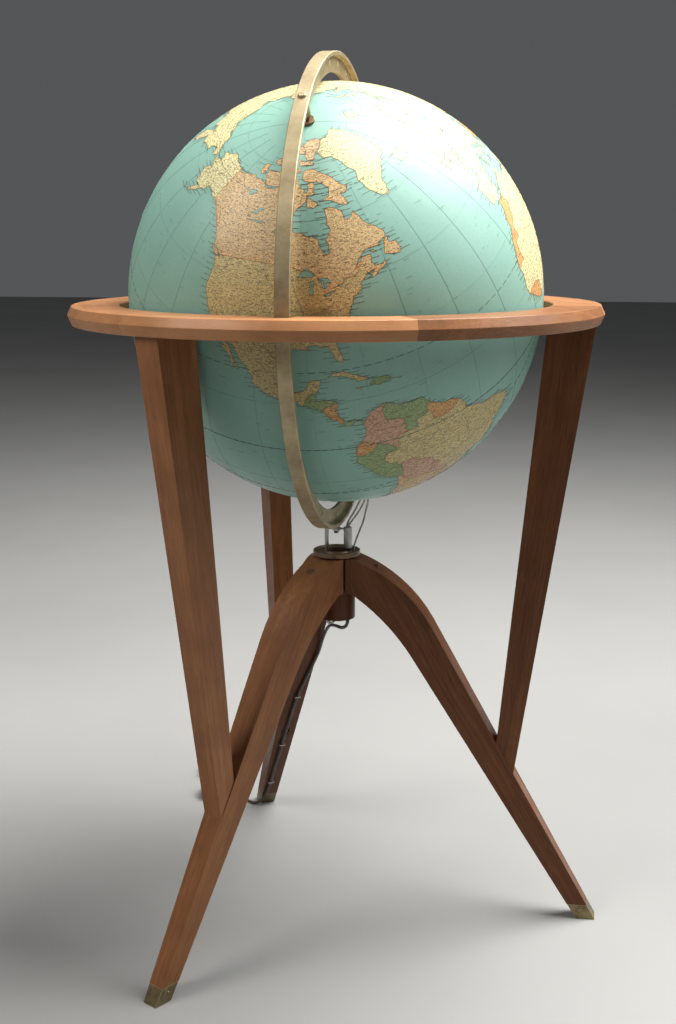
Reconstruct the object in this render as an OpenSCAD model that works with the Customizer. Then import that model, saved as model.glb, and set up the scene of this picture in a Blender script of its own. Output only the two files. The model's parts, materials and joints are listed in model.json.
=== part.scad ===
// Floor globe: a 16 inch ball in a meridian ring that swings in a three-legged wooden stand

/* [Ball] */
// Outer radius of the ball
ball_r = 203.2; // [203:0.1:203.4]
// Height of the ball's centre above the floor
ball_z = 645; // [644.9:0.1:645.1]
// Wall thickness of the two half shells
shell_t = 2.6; // [2:0.1:4]
// Tilt of the polar axis from upright
tilt = 39.4; // [24:0.1:45]

/* [Meridian] */
// Outer radius of the meridian ring
meridian_r = 230; // [229.6:0.1:230]
// Width of its rim, across the ring
rim_w = 13.3; // [10:0.1:13.4]
// Radial thickness of the rim
rim_t = 4; // [3:0.1:5]
// Thickness of the web inside the rim
web_t = 3.2; // [2.4:0.1:4]
// Inner radius of the web
web_r = 211; // [210.5:0.1:214]
// Diameter of the north pivot pin
pin_d = 4; // [4:0.1:4.4]
// Diameter of the south stem, which carries the lamp
stem_d = 9.5; // [9:0.1:10]
// Radial clearance of the ball's bushes on the pin and the stem
running_fit = 0.05; // [0.02:0.01:0.1]

/* [Horizon ring] */
// Outer radius at the arris half way up the edge
horizon_r = 262; // [259:0.5:264]
// Radius of the top and bottom faces
face_r = 258; // [256:0.5:258]
// Inner radius of the ring
horizon_in_r = 212; // [211:0.5:214]
// Thickness of the ring
horizon_t = 18; // [16:0.5:20]
// Height of its top face below the ball's centre
horizon_drop = 6; // [5:0.5:8]
// Width of the two notches for the meridian
notch_w = 15.2; // [14.8:0.1:18]

/* [Legs and struts] */
// Turn of the three legs from +X
stand_turn = 1.5; // [0:0.5:3]
// Radius at which a leg's upper edge meets the floor
foot_r = 275.4; // [268:0.2:278]
// Leg thickness at the stand's axis
leg_w = 38; // [34:0.5:38]
// Leg thickness at the foot
foot_w = 17; // [16:0.5:20]
// Strut thickness under the ring
strut_w = 28; // [22:0.5:28]
// Strut thickness on the leg
strut_low_w = 22; // [20:0.5:24]
// Height of the brass ferrules
ferrule_h = 16; // [12:0.5:20]
// Wall thickness of the ferrules
ferrule_t = 1.2; // [0.8:0.1:1.6]

/* [Hub] */
// Diameter of the round post between the legs
post_d = 37.8; // [36:0.2:38]
// Height of the post's lower end
post_low = 316; // [310:1:330]
// Height of the post's top
post_top = 383; // [383:0.5:384]
// Diameter of the guide pin
guide_d = 4.1; // [3:0.1:5]
// Diameter of the wire conduit
conduit_d = 8.5; // [8:0.1:9]
// Diameter of the cradle roller
roller_d = 10; // [9.6:0.1:10]

/* [Cords] */
// Diameter of the mains cord
cord_d = 3.6; // [3:0.1:3.9]
// Diameter of each lamp lead
lead_d = 2; // [1.6:0.1:2]

/* [Hidden] */
$fn = 96;

walnut = [0.55, 0.36, 0.24];
brass = [0.62, 0.55, 0.38];
dark = [0.16, 0.14, 0.13];

horizon_top = ball_z - horizon_drop;
horizon_low = horizon_top - horizon_t;
seam_turn = -64;
strut_in = 168.5;
strut_out = 186.7;
strut_top_in = 208;
strut_top_out = 254;
pin_x = -10.4;
conduit_x = 11.7;
disc_top = post_top + 4.5;
roller_z = ball_z - meridian_r - 0.4 - roller_d / 2;
conduit_top = roller_z + 1.9;

// Angle of leg n, from 1 to 3; leg 2 is nearest to +X
function leg_turn(n) = stand_turn + 120 * (n - 2);

// Height of a leg's upper and lower edges at radius r, on their straight stretches
function leg_top(r) = (foot_r - r) * 1.788;
function leg_low(r) = (foot_r - 19.4 - r) * 1.595;

// Half of a leg's thickness at radius r
function leg_half(r) = (leg_w - (leg_w - foot_w) * r / foot_r) / 2;

// An arc from a to b that turns clockwise by `turn` degrees, in n steps
function bend(a, b, turn, n = 8) =
    let(d = b - a, rad = norm(d) / 2 / sin(turn / 2),
        c = (a + b) / 2 + [d.y, -d.x] / norm(d) * rad * cos(turn / 2),
        s = atan2(a.y - c.y, a.x - c.x))
    [for (k = [0:n]) c + rad * [cos(s - turn * k / n), sin(s - turn * k / n)]];

// The outline p with its corners rounded to radius r
function rounded(p, r, k = 3) = [
    for (i = [0:len(p) - 1])
        let(b = p[i], u0 = p[(i + len(p) - 1) % len(p)] - b, v0 = p[(i + 1) % len(p)] - b,
            u = u0 / norm(u0), v = v0 / norm(v0), half = acos(u * v) / 2,
            c = b + (u + v) / norm(u + v) * r / sin(half),
            s = b + u * r / tan(half) - c, e = b + v * r / tan(half) - c,
            a = atan2(s.y, s.x), d = (atan2(e.y, e.x) - a + 540) % 360 - 180)
        for (j = [0:k]) c + r * [cos(a + d * j / k), sin(a + d * j / k)]
];

// A smooth line through the points p, with n steps between one point and the next
function smooth(p, n) = concat([
    for (i = [0:len(p) - 2]) for (k = [0:n - 1])
        let(t = k / n, b = p[i], c = p[i + 1],
            a = i == 0 ? 2 * b - c : p[i - 1],
            d = i == len(p) - 2 ? 2 * c - b : p[i + 2])
        (2 * b + (c - a) * t + (2 * a - 5 * b + 4 * c - d) * t * t
            + (3 * b - a - 3 * c + d) * t * t * t) / 2
], [p[len(p) - 1]]);

function unit(v) = v / norm(v);
function along(p, i) = unit(p[min(i + 1, len(p) - 1)] - p[max(i - 1, 0)]);
function square_to(s, t) = unit(s - (s * t) * t);

// A round tube of diameter d along the line p
module tube(p, d, sides = 8) {
    s = [for (i = 0, s = square_to([0.31, 0.83, 0.46], along(p, 0)); i < len(p);
        i = i + 1, s = square_to(s, along(p, min(i, len(p) - 1)))) s];
    ring = [for (i = [0:len(p) - 1]) for (j = [0:sides - 1])
        let(a = 360 * j / sides, u = cross(along(p, i), s[i]))
        p[i] + d / 2 * (cos(a) * s[i] + sin(a) * u)];
    n = len(p) - 1;
    walls = [for (i = [0:n - 1]) for (j = [0:sides - 1])
        let(q = i * sides, k = (j + 1) % sides)
        each [[q + j, q + sides + j, q + sides + k], [q + j, q + sides + k, q + k]]];
    start = [for (j = [0:sides - 1]) j];
    end = [for (j = [sides - 1:-1:0]) n * sides + j];
    polyhedron(ring, concat(walls, [start, end]), convexity = 8);
}

// Puts a leg's own frame (x outwards, y across) at leg n
module at_leg(n) {
    rotate([0, 0, leg_turn(n)]) children();
}

// Puts the ball's frame, with z along the polar axis to the north, at the ball
module at_ball() {
    translate([0, 0, ball_z]) rotate([tilt, 0, 0]) children();
}

// A tube or rod along z from z0 to z1
module rod(d, z0, z1, bore = 0) {
    difference() {
        translate([0, 0, z0]) cylinder(d = d, h = z1 - z0);
        if (bore > 0) translate([0, 0, z0 - 1]) cylinder(d = bore, h = z1 - z0 + 2);
    }
}

// ---- Horizon ring ----

module horizon_outline() {
    polygon(rounded([[horizon_in_r, horizon_low], [face_r, horizon_low],
        [horizon_r, (horizon_low + horizon_top) / 2 + 0.5], [face_r, horizon_top],
        [horizon_in_r, horizon_top]], 1.4));
}

module ring_dowel(k) {
    rotate([0, 0, seam_turn + 60 * k]) translate([236, 0, horizon_low + horizon_t / 2])
        rotate([90, 0, 0]) cylinder(d = 8, h = 34, center = true, $fn = 32);
}

module strut_dowel(n, r) {
    at_leg(n) translate([r, 0, horizon_low - 14]) cylinder(d = 8, h = 24, $fn = 32);
}

module horizon_segment(k) {
    color(walnut) difference() {
        rotate([0, 0, seam_turn + 60 * (k - 1)]) rotate_extrude(angle = 60, $fn = 180)
            horizon_outline();
        for (s = [-1, 1])
            translate([-notch_w / 2, s * (meridian_r - 18.5) - 20, horizon_low - 5])
                cube([notch_w, 40, horizon_t + 10]);
        ring_dowel(k - 1);
        ring_dowel(k);
        for (n = [1:3]) for (r = [222, 242]) strut_dowel(n, r);
    }
}

module ring_dowels() {
    color("burlywood") for (k = [0:5]) ring_dowel(k);
}

module strut_dowels() {
    color("burlywood") for (n = [1:3]) for (r = [222, 242]) strut_dowel(n, r);
}

// ---- Struts ----

module strut_outline() {
    polygon([[strut_in, leg_top(strut_in)], [strut_out, leg_top(strut_out)],
        [strut_top_out, horizon_low], [strut_top_in, horizon_low]]);
}

module strut_screw(n) {
    at_leg(n) {
        translate([179, 0, 134]) cylinder(d = 5, h = 86, $fn = 24);
        translate([179, 0, 134]) cylinder(d1 = 10, d2 = 5, h = 4, $fn = 24);
    }
}

module strut(n) {
    low = leg_top(strut_out);
    color(walnut) difference() {
        at_leg(n) intersection() {
            translate([0, 20, 0]) rotate([90, 0, 0]) linear_extrude(40) strut_outline();
            rotate([90, 0, 90]) linear_extrude(300)
                polygon([[-strut_low_w / 2, low - 1], [strut_low_w / 2, low - 1],
                    [strut_w / 2, horizon_low], [-strut_w / 2, horizon_low]]);
        }
        strut_screw(n);
        for (r = [222, 242]) strut_dowel(n, r);
    }
}

module strut_screws() {
    color("silver") for (n = [1:3]) strut_screw(n);
}

// ---- Legs ----

module leg_outline() {
    shoulder = [100, leg_top(100)];
    knee = [80, leg_low(80)];
    low = bend([24, 341], knee, 21);
    polygon(concat([[12, 381.4]], bend([19.5, 381.4], shoulder, 40.8),
        [[foot_r, 0], [foot_r - 19.4, 0]],
        [for (i = [len(low) - 1:-1:0]) low[i]], [[19.5, 344.5], [12, 346]]));
}

// A leg's shape between two heights, with its faces moved in by `inset`
module leg_solid(z0, z1, inset = 0) {
    tall = 400;
    intersection() {
        translate([0, tall / 2, 0]) rotate([90, 0, 0]) linear_extrude(tall)
            intersection() {
                translate([-inset * 1.16, 0]) leg_outline();
                translate([inset * 1.16, 0]) leg_outline();
            }
        linear_extrude(tall)
            polygon([[0, inset - leg_half(0)], [foot_r + 5, inset - leg_half(foot_r + 5)],
                [foot_r + 5, leg_half(foot_r + 5) - inset], [0, leg_half(0) - inset]]);
        translate([0, -tall / 2, z0]) cube([tall, tall, z1 - z0]);
    }
}

module leg_dowel(n, z) {
    at_leg(n) translate([16.6, 0, z]) rotate([0, 90, 0]) cylinder(d = 8, h = 27, $fn = 32);
}

module leg(n) {
    color(walnut) difference() {
        at_leg(n) union() {
            leg_solid(ferrule_h, 390);
            leg_solid(2, ferrule_h + 1, ferrule_t);
        }
        translate([0, 0, 300]) cylinder(d = post_d, h = 100);
        strut_screw(n);
        at_leg(n) translate([179, 0, 100]) cylinder(d = 10, h = 34, $fn = 24);
        for (z = [354, 370]) leg_dowel(n, z);
    }
}

module leg_dowels() {
    color("burlywood") for (n = [1:3]) for (z = [354, 370]) leg_dowel(n, z);
}

module foot_ferrule(n) {
    color(brass) at_leg(n) difference() {
        leg_solid(0, ferrule_h);
        leg_solid(2, ferrule_h + 1, ferrule_t);
    }
}

module ferrule_pins() {
    color("khaki") for (n = [1:3]) at_leg(n) for (s = [-1, 1])
        translate([259, s * leg_half(259), 9]) rotate([-90 * s, 0, 0]) {
            translate([0, 0, -6]) cylinder(d = 1.6, h = 6, $fn = 16);
            cylinder(d1 = 3.6, d2 = 2.4, h = 0.7, $fn = 16);
        }
}

// ---- Hub ----

module hub_post() {
    color(walnut) difference() {
        translate([0, 0, post_low]) cylinder(d = post_d, h = post_top - post_low);
        translate([conduit_x, 0, 300]) cylinder(d = 6.4, h = 100, $fn = 32);
        translate([conduit_x, 0, post_top - 14]) cylinder(d = conduit_d, h = 30, $fn = 48);
        translate([pin_x, 0, post_top - 18]) cylinder(d = guide_d, h = 30, $fn = 32);
        at_leg(3) translate([0, 1, 300]) cylinder(d = 2.6, h = 30, $fn = 24);
        for (n = [1:3]) for (z = [354, 370]) leg_dowel(n, z);
    }
}

module hub_disc() {
    h = disc_top - post_top;
    color([0.5, 0.48, 0.42]) difference() {
        translate([0, 0, post_top]) rotate_extrude()
            polygon([[10.6, 0], [24, 0], [24, h], [21.5, h], [20.6, h - 1.4],
                [14.4, h - 1.4], [13.6, h], [10.6, h]]);
        translate([conduit_x, 0, 370]) cylinder(d = conduit_d, h = 30, $fn = 48);
        translate([pin_x, 0, 370]) cylinder(d = guide_d, h = 30, $fn = 32);
        translate([17.6, 4.4, 370]) cylinder(d = 2.8, h = 30, $fn = 24);
    }
}

module guide_pin() {
    color(brass) difference() {
        translate([pin_x, 0, 0]) {
            rod(guide_d, post_top - 18, ball_z - meridian_r + 4);
            translate([0, 0, ball_z - meridian_r + 4])
                cylinder(d1 = guide_d, d2 = guide_d - 1.6, h = 1);
        }
        roller_rod(0);
    }
}

module wire_conduit() {
    color(brass) difference() {
        translate([conduit_x, 0, 0]) rod(conduit_d, post_top - 14, conduit_top, 6);
        roller_rod(0);
    }
}

module conduit_collar() {
    color(dark) translate([conduit_x, 0, 0]) difference() {
        translate([0, 0, disc_top]) cylinder(d = 12, h = 2.6, $fn = 6);
        translate([0, 0, disc_top - 1]) cylinder(d = conduit_d, h = 5, $fn = 48);
    }
}

module roller_rod(slack) {
    translate([pin_x - guide_d / 2, 0, roller_z]) rotate([0, 90, 0])
        cylinder(d = 2 + slack, h = conduit_x - pin_x - conduit_d / 2 + guide_d / 2 + 0.9,
            $fn = 32);
}

module roller_axle() {
    color("silver") roller_rod(0);
}

module axle_collars() {
    color("silver") for (s = [-1, 1]) translate([s * 3.35, 0, roller_z])
        rotate([0, 90, 0]) difference() {
            cylinder(d = 4, h = 1.2, center = true, $fn = 32);
            cylinder(d = 2, h = 3, center = true, $fn = 32);
        }
}

module cradle_roller() {
    color([0.75, 0.72, 0.66]) translate([0, 0, roller_z]) rotate([0, 90, 0]) difference() {
        union() {
            cylinder(d = roller_d - 1, h = 4.8, center = true);
            cylinder(d = roller_d, h = 3.8, center = true);
        }
        cylinder(d = 2 + 2 * running_fit, h = 8, center = true, $fn = 48);
    }
}

// ---- Meridian ----

module meridian_ring() {
    inner = meridian_r - rim_t;
    color(brass) at_ball() difference() {
        union() {
            rotate([0, 90, 0]) rotate_extrude($fn = 240)
                polygon([[web_r, -web_t / 2], [inner - 1.5, -web_t / 2],
                    [inner - 0.5, -web_t / 2 - 0.5], [inner, -web_t / 2 - 1.5],
                    [inner, -rim_w / 2 + 0.5], [inner + 0.5, -rim_w / 2],
                    [meridian_r - 0.6, -rim_w / 2], [meridian_r, -rim_w / 2 + 0.6],
                    [meridian_r, rim_w / 2 - 0.6], [meridian_r - 0.6, rim_w / 2],
                    [inner + 0.5, rim_w / 2], [inner, rim_w / 2 - 0.5],
                    [inner, web_t / 2 + 1.5], [inner - 0.5, web_t / 2 + 0.5],
                    [inner - 1.5, web_t / 2], [web_r, web_t / 2]]);
            rod(9.5, web_r, inner + 1);
            rotate([180, 0, 0]) rod(13, web_r - 0.6, inner + 1);
        }
        translate([0, 0, 150]) cylinder(d = pin_d, h = 100, $fn = 48);
        translate([0, 0, -250]) cylinder(d = stem_d, h = 100, $fn = 48);
    }
}

module degree_marks() {
    color([0.7, 0.64, 0.48]) at_ball() for (a = [10:10:350]) if (a != 180)
        rotate([a, 0, 0]) for (s = [-1, 1])
            translate([s * (web_t / 2 + 0.2), 0, web_r + 3.2 - (a % 30 == 0 ? 1.2 : 0)])
                translate([-0.2, -0.4, 0]) cube([0.4, 0.8, a % 30 == 0 ? 6 : 4]);
}

module north_pin() {
    color(brass) at_ball() {
        rod(pin_d, ball_r - 8, meridian_r);
        translate([0, 0, meridian_r]) cylinder(d1 = 9, d2 = 6.4, h = 2.2);
    }
}

module north_spacer() {
    color([0.55, 0.32, 0.22]) at_ball() difference() {
        translate([0, 0, ball_r + 3.1]) cylinder(d1 = 6, d2 = 9, h = web_r - ball_r - 3.2);
        cylinder(d = pin_d, h = 250, $fn = 48);
    }
}

module south_nut() {
    color(brass) at_ball() rotate([180, 0, 0]) difference() {
        translate([0, 0, meridian_r]) union() {
            cylinder(d = 15, h = 1);
            translate([0, 0, 1]) cylinder(d = 14.4, h = 3.4, $fn = 6);
        }
        cylinder(d = stem_d, h = 250, $fn = 48);
    }
}

module lamp_stem() {
    color(brass) at_ball() rotate([180, 0, 0]) rod(stem_d, 150, meridian_r + 6.5, 6);
}

module lamp_socket() {
    color(dark) at_ball() rotate([180, 0, 0]) difference() {
        union() {
            rod(29, 112, 156);
            rod(16, 156, 162);
        }
        translate([0, 0, 150]) cylinder(d = stem_d, h = 20, $fn = 48);
        translate([0, 0, 111]) cylinder(d = 26, h = 33);
    }
}

module lamp_bulb() {
    color([0.95, 0.94, 0.88]) at_ball() rotate([180, 0, 0]) difference() {
        union() {
            translate([0, 0, 72]) sphere(r = 29);
            rod(25.6, 92, 140);
        }
        translate([0, 0, 72]) sphere(r = 28);
        rod(23.6, 80, 139);
    }
}

// ---- Ball ----

module half_shell(south) {
    at_ball() rotate([south ? 180 : 0, 0, 0]) difference() {
        intersection() {
            sphere(r = ball_r, $fn = 180);
            translate([0, 0, 150]) cube([500, 500, 300], center = true);
        }
        sphere(r = ball_r - shell_t, $fn = 180);
        cylinder(d = south ? 14 : 9, h = 300, $fn = 48);
    }
}

module north_shell() {
    color([0.45, 0.68, 0.64]) half_shell(false);
}

module south_shell() {
    color([0.42, 0.64, 0.6]) half_shell(true);
}

module equator_ring() {
    color("burlywood") at_ball() difference() {
        intersection() {
            sphere(r = ball_r - shell_t, $fn = 180);
            cylinder(r = ball_r, h = 16, center = true);
        }
        cylinder(r = ball_r - shell_t - 3, h = 20, center = true, $fn = 180);
    }
}

// A flanged bush through the shell at a pole
module bush(flange, neck, bore) {
    difference() {
        union() {
            rod(neck, ball_r - shell_t - 4, ball_r + 1);
            difference() {
                rod(flange, ball_r - 2, ball_r + 2.8);
                sphere(r = ball_r, $fn = 180);
            }
        }
        cylinder(d = bore, h = 250, $fn = 48);
    }
}

module north_bush() {
    color(dark) at_ball() bush(14, 9, pin_d + 2 * running_fit);
}

module south_bush() {
    color(dark) at_ball() rotate([180, 0, 0]) bush(22, 14, stem_d + 2 * running_fit);
}

// ---- Lamp leads and mains cord ----

// Each lead rises from the hub, runs back under the ball and enters the south stem
lead_a = [[10.6, 0.8, 400], [10.6, 0.8, 412], [12, 7, 418], [13, 22, 421], [13, 45, 424],
    [13, 75, 429], [12, 105, 437], [8.5, 132, 445.5], [4.2, 146, 450.6], [1.9, 151.1, 452.6],
    [1.3, 152.7, 456], [1.25, 151.4, 459.5], [1.25, 147, 465]];
lead_b = [[12.8, -0.8, 400], [12.8, -0.8, 412], [15, 6, 417], [16.4, 22, 419.5],
    [16.6, 45, 421.5], [16, 75, 426], [13, 108, 435], [4.8, 138, 445], [0.8, 147.4, 449.6],
    [-0.9, 151.3, 452.3], [-1.3, 152.7, 456], [-1.25, 151.4, 459.5], [-1.25, 147, 465]];
lead_c = [[17.6, 4.4, 383.1], [17.6, 4.4, 391], [20.5, 11, 402], [23.5, 21, 412],
    [23, 40, 419.5], [20, 70, 423], [16, 104, 431], [8, 138, 441.8], [2.6, 148, 447.6],
    [0.6, 153, 451], [0, 154.9, 456], [0, 153.2, 460.7], [0, 148.6, 466.3]];

module lamp_lead_a() {
    color([0.72, 0.7, 0.66]) tube(smooth(lead_a, 4), lead_d);
}

module lamp_lead_b() {
    color([0.7, 0.68, 0.64]) tube(smooth(lead_b, 4), lead_d);
}

module lamp_lead_c() {
    color([0.68, 0.66, 0.62]) tube(smooth(lead_c, 4), lead_d);
}

// In leg 3's own frame: out of the post, down under the leg, and round the foot on the floor
cord_route = [[-6.1, -9.9, 322], [-6, -9.9, 312], [-1, -9.5, 304.5], [9, -8.4, 300],
    [24, -7.6, 298], [42, -8.6, 293.5], [58, -11, 286], [72, -12.6, 276], [84, -13.4, 263.5],
    [97, -14.2, 247.5], [110, -12, 229], [124, -7.5, 206.5], [142, -2.5, 178], [168, 0, 136.5],
    [200, 2, 85.5], [232, 4, 34.5], [244, 6, 16], [249, 10.5, 7.5], [254, 16, 3.2],
    [262, 21, 1.9], [276, 23.8, 1.9], [289, 24.6, 1.9], [300, 24.6, 1.9]];
// From the top of the coil to the plug
tail_route = [[312, 27.9, 16.7], [320, 32.6, 16], [330, 38.6, 11.5], [338, 43.2, 7.6], [347, 46, 6]];
// A thin wire that leaves the post beside the cord and joins it
branch_route = [[0, 1, 322], [0.4, 1.2, 313.5], [4.5, 3.4, 308], [13, 4.8, 307], [25, 2, 304],
    [36, -4, 298], [44, -8.6, 293]];
coil_at = [300, 48];
coil_mean_r = 21.5;
coil_h = 18.6;
plug_at = [358, 46];

module mains_cord() {
    color(dark) at_leg(3) tube(smooth(cord_route, 3), cord_d);
}

module mains_cord_tail() {
    color(dark) at_leg(3) tube(smooth(tail_route, 2), cord_d);
}

module mains_branch() {
    color(dark) at_leg(3) tube(smooth(branch_route, 3), lead_d);
}

module mains_cord_coil() {
    color(dark) at_leg(3) translate([coil_at.x, coil_at.y, 0]) rotate_extrude()
        polygon(rounded([[coil_mean_r - 4, 0.1], [coil_mean_r + 4, 0.1],
            [coil_mean_r + 4, coil_h], [coil_mean_r - 4, coil_h]], 1.8));
}

module coil_tie() {
    color("ivory") at_leg(3) translate([coil_at.x - coil_mean_r, coil_at.y, 0]) difference() {
        translate([-5, -2, 0]) cube([10, 4, coil_h + 1]);
        translate([-4.2, -3, 0.05]) cube([8.4, 6, coil_h]);
    }
}

// Puts the plug's frame, with y out along its blades, on the floor past the coil
module at_plug() {
    at_leg(3) translate([plug_at.x, plug_at.y, 0]) rotate([0, 0, -90]) children();
}

module plug_body() {
    color(dark) at_plug() linear_extrude(12)
        polygon(rounded([[-4, -12], [4, -12], [9.5, 2], [9.5, 12], [-9.5, 12], [-9.5, 2]], 1.6));
}

module plug_blades() {
    color(brass) at_plug() for (s = [-1, 1])
        translate([s * 6.35 - 0.75, 12, 2.8]) cube([1.5, 16, 6.4]);
}

// A staple over the cord under leg 3, at radius r and y across
module staple(r, y) {
    translate([r, y, leg_low(r)]) rotate([0, 180 + atan(1.595), 0]) {
        translate([-0.6, -3.6, cord_d + 0.3]) cube([1.2, 7.2, 0.9]);
        for (s = [-1, 1]) translate([-0.6, s * 3.1 - 0.5, -6]) cube([1.2, 1, 10.4]);
    }
}

module wire_staples() {
    color("silver") at_leg(3) {
        staple(142, -2.5);
        staple(190, 1.5);
        staple(230, 3.8);
    }
}

horizon_segment(1);  // horizon_segment_1
horizon_segment(2);  // horizon_segment_2
horizon_segment(3);  // horizon_segment_3
horizon_segment(4);  // horizon_segment_4
horizon_segment(5);  // horizon_segment_5
horizon_segment(6);  // horizon_segment_6
ring_dowels();
strut_dowels();
strut(1);  // strut_1
strut(2);  // strut_2
strut(3);  // strut_3
strut_screws();
leg(1);  // leg_1
leg(2);  // leg_2
leg(3);  // leg_3
leg_dowels();
foot_ferrule(1);  // foot_ferrule_1
foot_ferrule(2);  // foot_ferrule_2
foot_ferrule(3);  // foot_ferrule_3
ferrule_pins();
hub_post();
hub_disc();
guide_pin();
wire_conduit();
conduit_collar();
roller_axle();
axle_collars();
cradle_roller();
meridian_ring();
degree_marks();
north_pin();
north_spacer();
south_nut();
lamp_stem();
lamp_socket();
lamp_bulb();
north_shell();
south_shell();
equator_ring();
north_bush();
south_bush();
lamp_lead_a();
lamp_lead_b();
lamp_lead_c();
mains_cord();
mains_cord_tail();
mains_branch();
mains_cord_coil();
coil_tie();
plug_body();
plug_blades();
wire_staples();
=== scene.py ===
"""Looks of the floor globe: wood, brass, printed ball, lamp leads and mains cord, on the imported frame."""
import json
import math
import random
from math import cos, radians, sin

import bmesh
import bpy
from mathutils import Matrix, Vector
from mathutils.geometry import delaunay_2d_cdt

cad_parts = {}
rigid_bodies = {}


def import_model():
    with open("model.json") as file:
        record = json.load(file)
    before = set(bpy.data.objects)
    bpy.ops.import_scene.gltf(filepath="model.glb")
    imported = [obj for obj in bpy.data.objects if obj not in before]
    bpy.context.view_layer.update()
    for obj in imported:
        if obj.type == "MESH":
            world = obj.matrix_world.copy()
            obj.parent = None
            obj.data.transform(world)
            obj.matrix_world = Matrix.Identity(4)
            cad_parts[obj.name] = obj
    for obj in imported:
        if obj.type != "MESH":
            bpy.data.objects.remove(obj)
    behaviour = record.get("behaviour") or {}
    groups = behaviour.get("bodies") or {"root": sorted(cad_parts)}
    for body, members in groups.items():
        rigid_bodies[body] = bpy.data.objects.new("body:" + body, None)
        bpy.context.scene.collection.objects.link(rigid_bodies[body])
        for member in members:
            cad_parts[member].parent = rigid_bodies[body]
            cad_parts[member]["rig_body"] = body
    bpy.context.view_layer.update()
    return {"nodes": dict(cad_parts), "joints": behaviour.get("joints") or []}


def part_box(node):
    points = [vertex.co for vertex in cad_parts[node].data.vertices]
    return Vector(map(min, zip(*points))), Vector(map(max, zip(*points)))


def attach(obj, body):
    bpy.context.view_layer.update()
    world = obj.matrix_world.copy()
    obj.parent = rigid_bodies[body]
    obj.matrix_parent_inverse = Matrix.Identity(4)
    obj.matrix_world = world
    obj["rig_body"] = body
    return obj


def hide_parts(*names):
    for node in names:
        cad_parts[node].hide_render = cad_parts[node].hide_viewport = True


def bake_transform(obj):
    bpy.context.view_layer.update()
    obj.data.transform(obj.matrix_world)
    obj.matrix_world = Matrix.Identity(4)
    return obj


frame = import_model()
MM = 0.001


def joint(name):
    return next(j for j in frame["joints"] if j["name"] == name)


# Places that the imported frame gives
ball_low, ball_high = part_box("south_shell")[0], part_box("north_shell")[1]
BALL_R = (ball_high.x - ball_low.x) / 2
BALL = Vector((0, 0, joint("meridian_turn")["pos_m"][2]))
NORTH = Vector(joint("ball_spin")["axis"])
# Where part.scad turns each leg to, about the stand's axis
LEG_TURNS = {1: radians(-118.5), 2: radians(1.5), 3: radians(121.5)}


def linked(name, data):
    """A new object with that data, in the scene."""
    thing = bpy.data.objects.new(name, data)
    bpy.context.scene.collection.objects.link(thing)
    return thing


# ---------------------------------------------------------------- camera

def make_camera(distance, height, azimuth, pitch, pan, roll, lens):
    """A camera that looks at the stand's axis from that azimuth, in degrees. It is tipped down by
    pitch, turned to the left by pan and turned about its own view by roll."""
    data = bpy.data.cameras.new("camera")
    data.lens = lens
    data.sensor_width = 36
    data.sensor_fit = "AUTO"
    camera = linked("camera", data)
    turn = radians(azimuth)
    place = Vector((distance * sin(turn), -distance * cos(turn), height))
    aim = Matrix.Rotation(turn + radians(pan), 4, "Z")
    aim = aim @ Matrix.Rotation(radians(90 - pitch), 4, "X")
    camera.matrix_world = Matrix.Translation(place) @ aim @ Matrix.Rotation(radians(roll), 4, "Z")
    bpy.context.scene.camera = camera


make_camera(distance=1.3396, height=0.7122, azimuth=11.3, pitch=12.03, pan=-0.06, roll=-0.11,
            lens=47.03)


# ---------------------------------------------------------------- mesh helpers

def new_object(name, verts, faces, material=None, smooth=False):
    mesh = bpy.data.meshes.new(name)
    mesh.from_pydata([tuple(v) for v in verts], [], faces)
    mesh.validate()
    for p in mesh.polygons:
        p.use_smooth = smooth
    if material:
        mesh.materials.append(material)
    return linked(name, mesh)


def only_material(mesh, material):
    mesh.materials.clear()
    mesh.materials.append(material)


def smooth_line(points, steps):
    """A smooth line through the points (Catmull-Rom), with that many steps between two of them."""
    p = [Vector(q) for q in points]
    out = []
    for i in range(len(p) - 1):
        b, c = p[i], p[i + 1]
        a = p[i - 1] if i else 2 * b - c
        d = p[i + 2] if i + 2 < len(p) else 2 * c - b
        for k in range(steps):
            t = k / steps
            out.append((2 * b + (c - a) * t + (2 * a - 5 * b + 4 * c - d) * t * t
                        + (3 * b - a - 3 * c + d) * t ** 3) / 2)
    return out + [p[-1]]


def curve_cord(name, line, diameter, material):
    """A round cord as a curve of one open spline along the line."""
    curve = bpy.data.curves.new(name, "CURVE")
    curve.dimensions = "3D"
    curve.bevel_depth = diameter / 2
    curve.bevel_resolution = 3
    curve.use_fill_caps = True
    spline = curve.splines.new("POLY")
    spline.points.add(len(line) - 1)
    for point, place in zip(spline.points, line):
        point.co = (*place, 1)
    curve.materials.append(material)
    return linked(name, curve)


def tube_cord(name, line, diameter, material, sides=12):
    """A round cord as a mesh tube along the line; the diameter is one number or a list of them."""
    verts, faces = [], []
    side = Vector((0.31, 0.83, 0.46))  # any direction that no cord starts along
    widths = diameter if isinstance(diameter, list) else [diameter] * len(line)
    for i, place in enumerate(line):
        along = (line[min(i + 1, len(line) - 1)] - line[max(i - 1, 0)]).normalized()
        side = (side - side.dot(along) * along).normalized()
        other = along.cross(side)
        for j in range(sides):
            a = 2 * math.pi * j / sides
            verts.append(place + widths[i] / 2 * (cos(a) * side + sin(a) * other))
    for i in range(len(line) - 1):
        for j in range(sides):
            k, q = (j + 1) % sides, i * sides
            faces.append((q + j, q + k, q + sides + k, q + sides + j))
    faces += [list(range(sides))[::-1], [(len(line) - 1) * sides + j for j in range(sides)]]
    return new_object(name, verts, faces, material, smooth=True)


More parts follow.
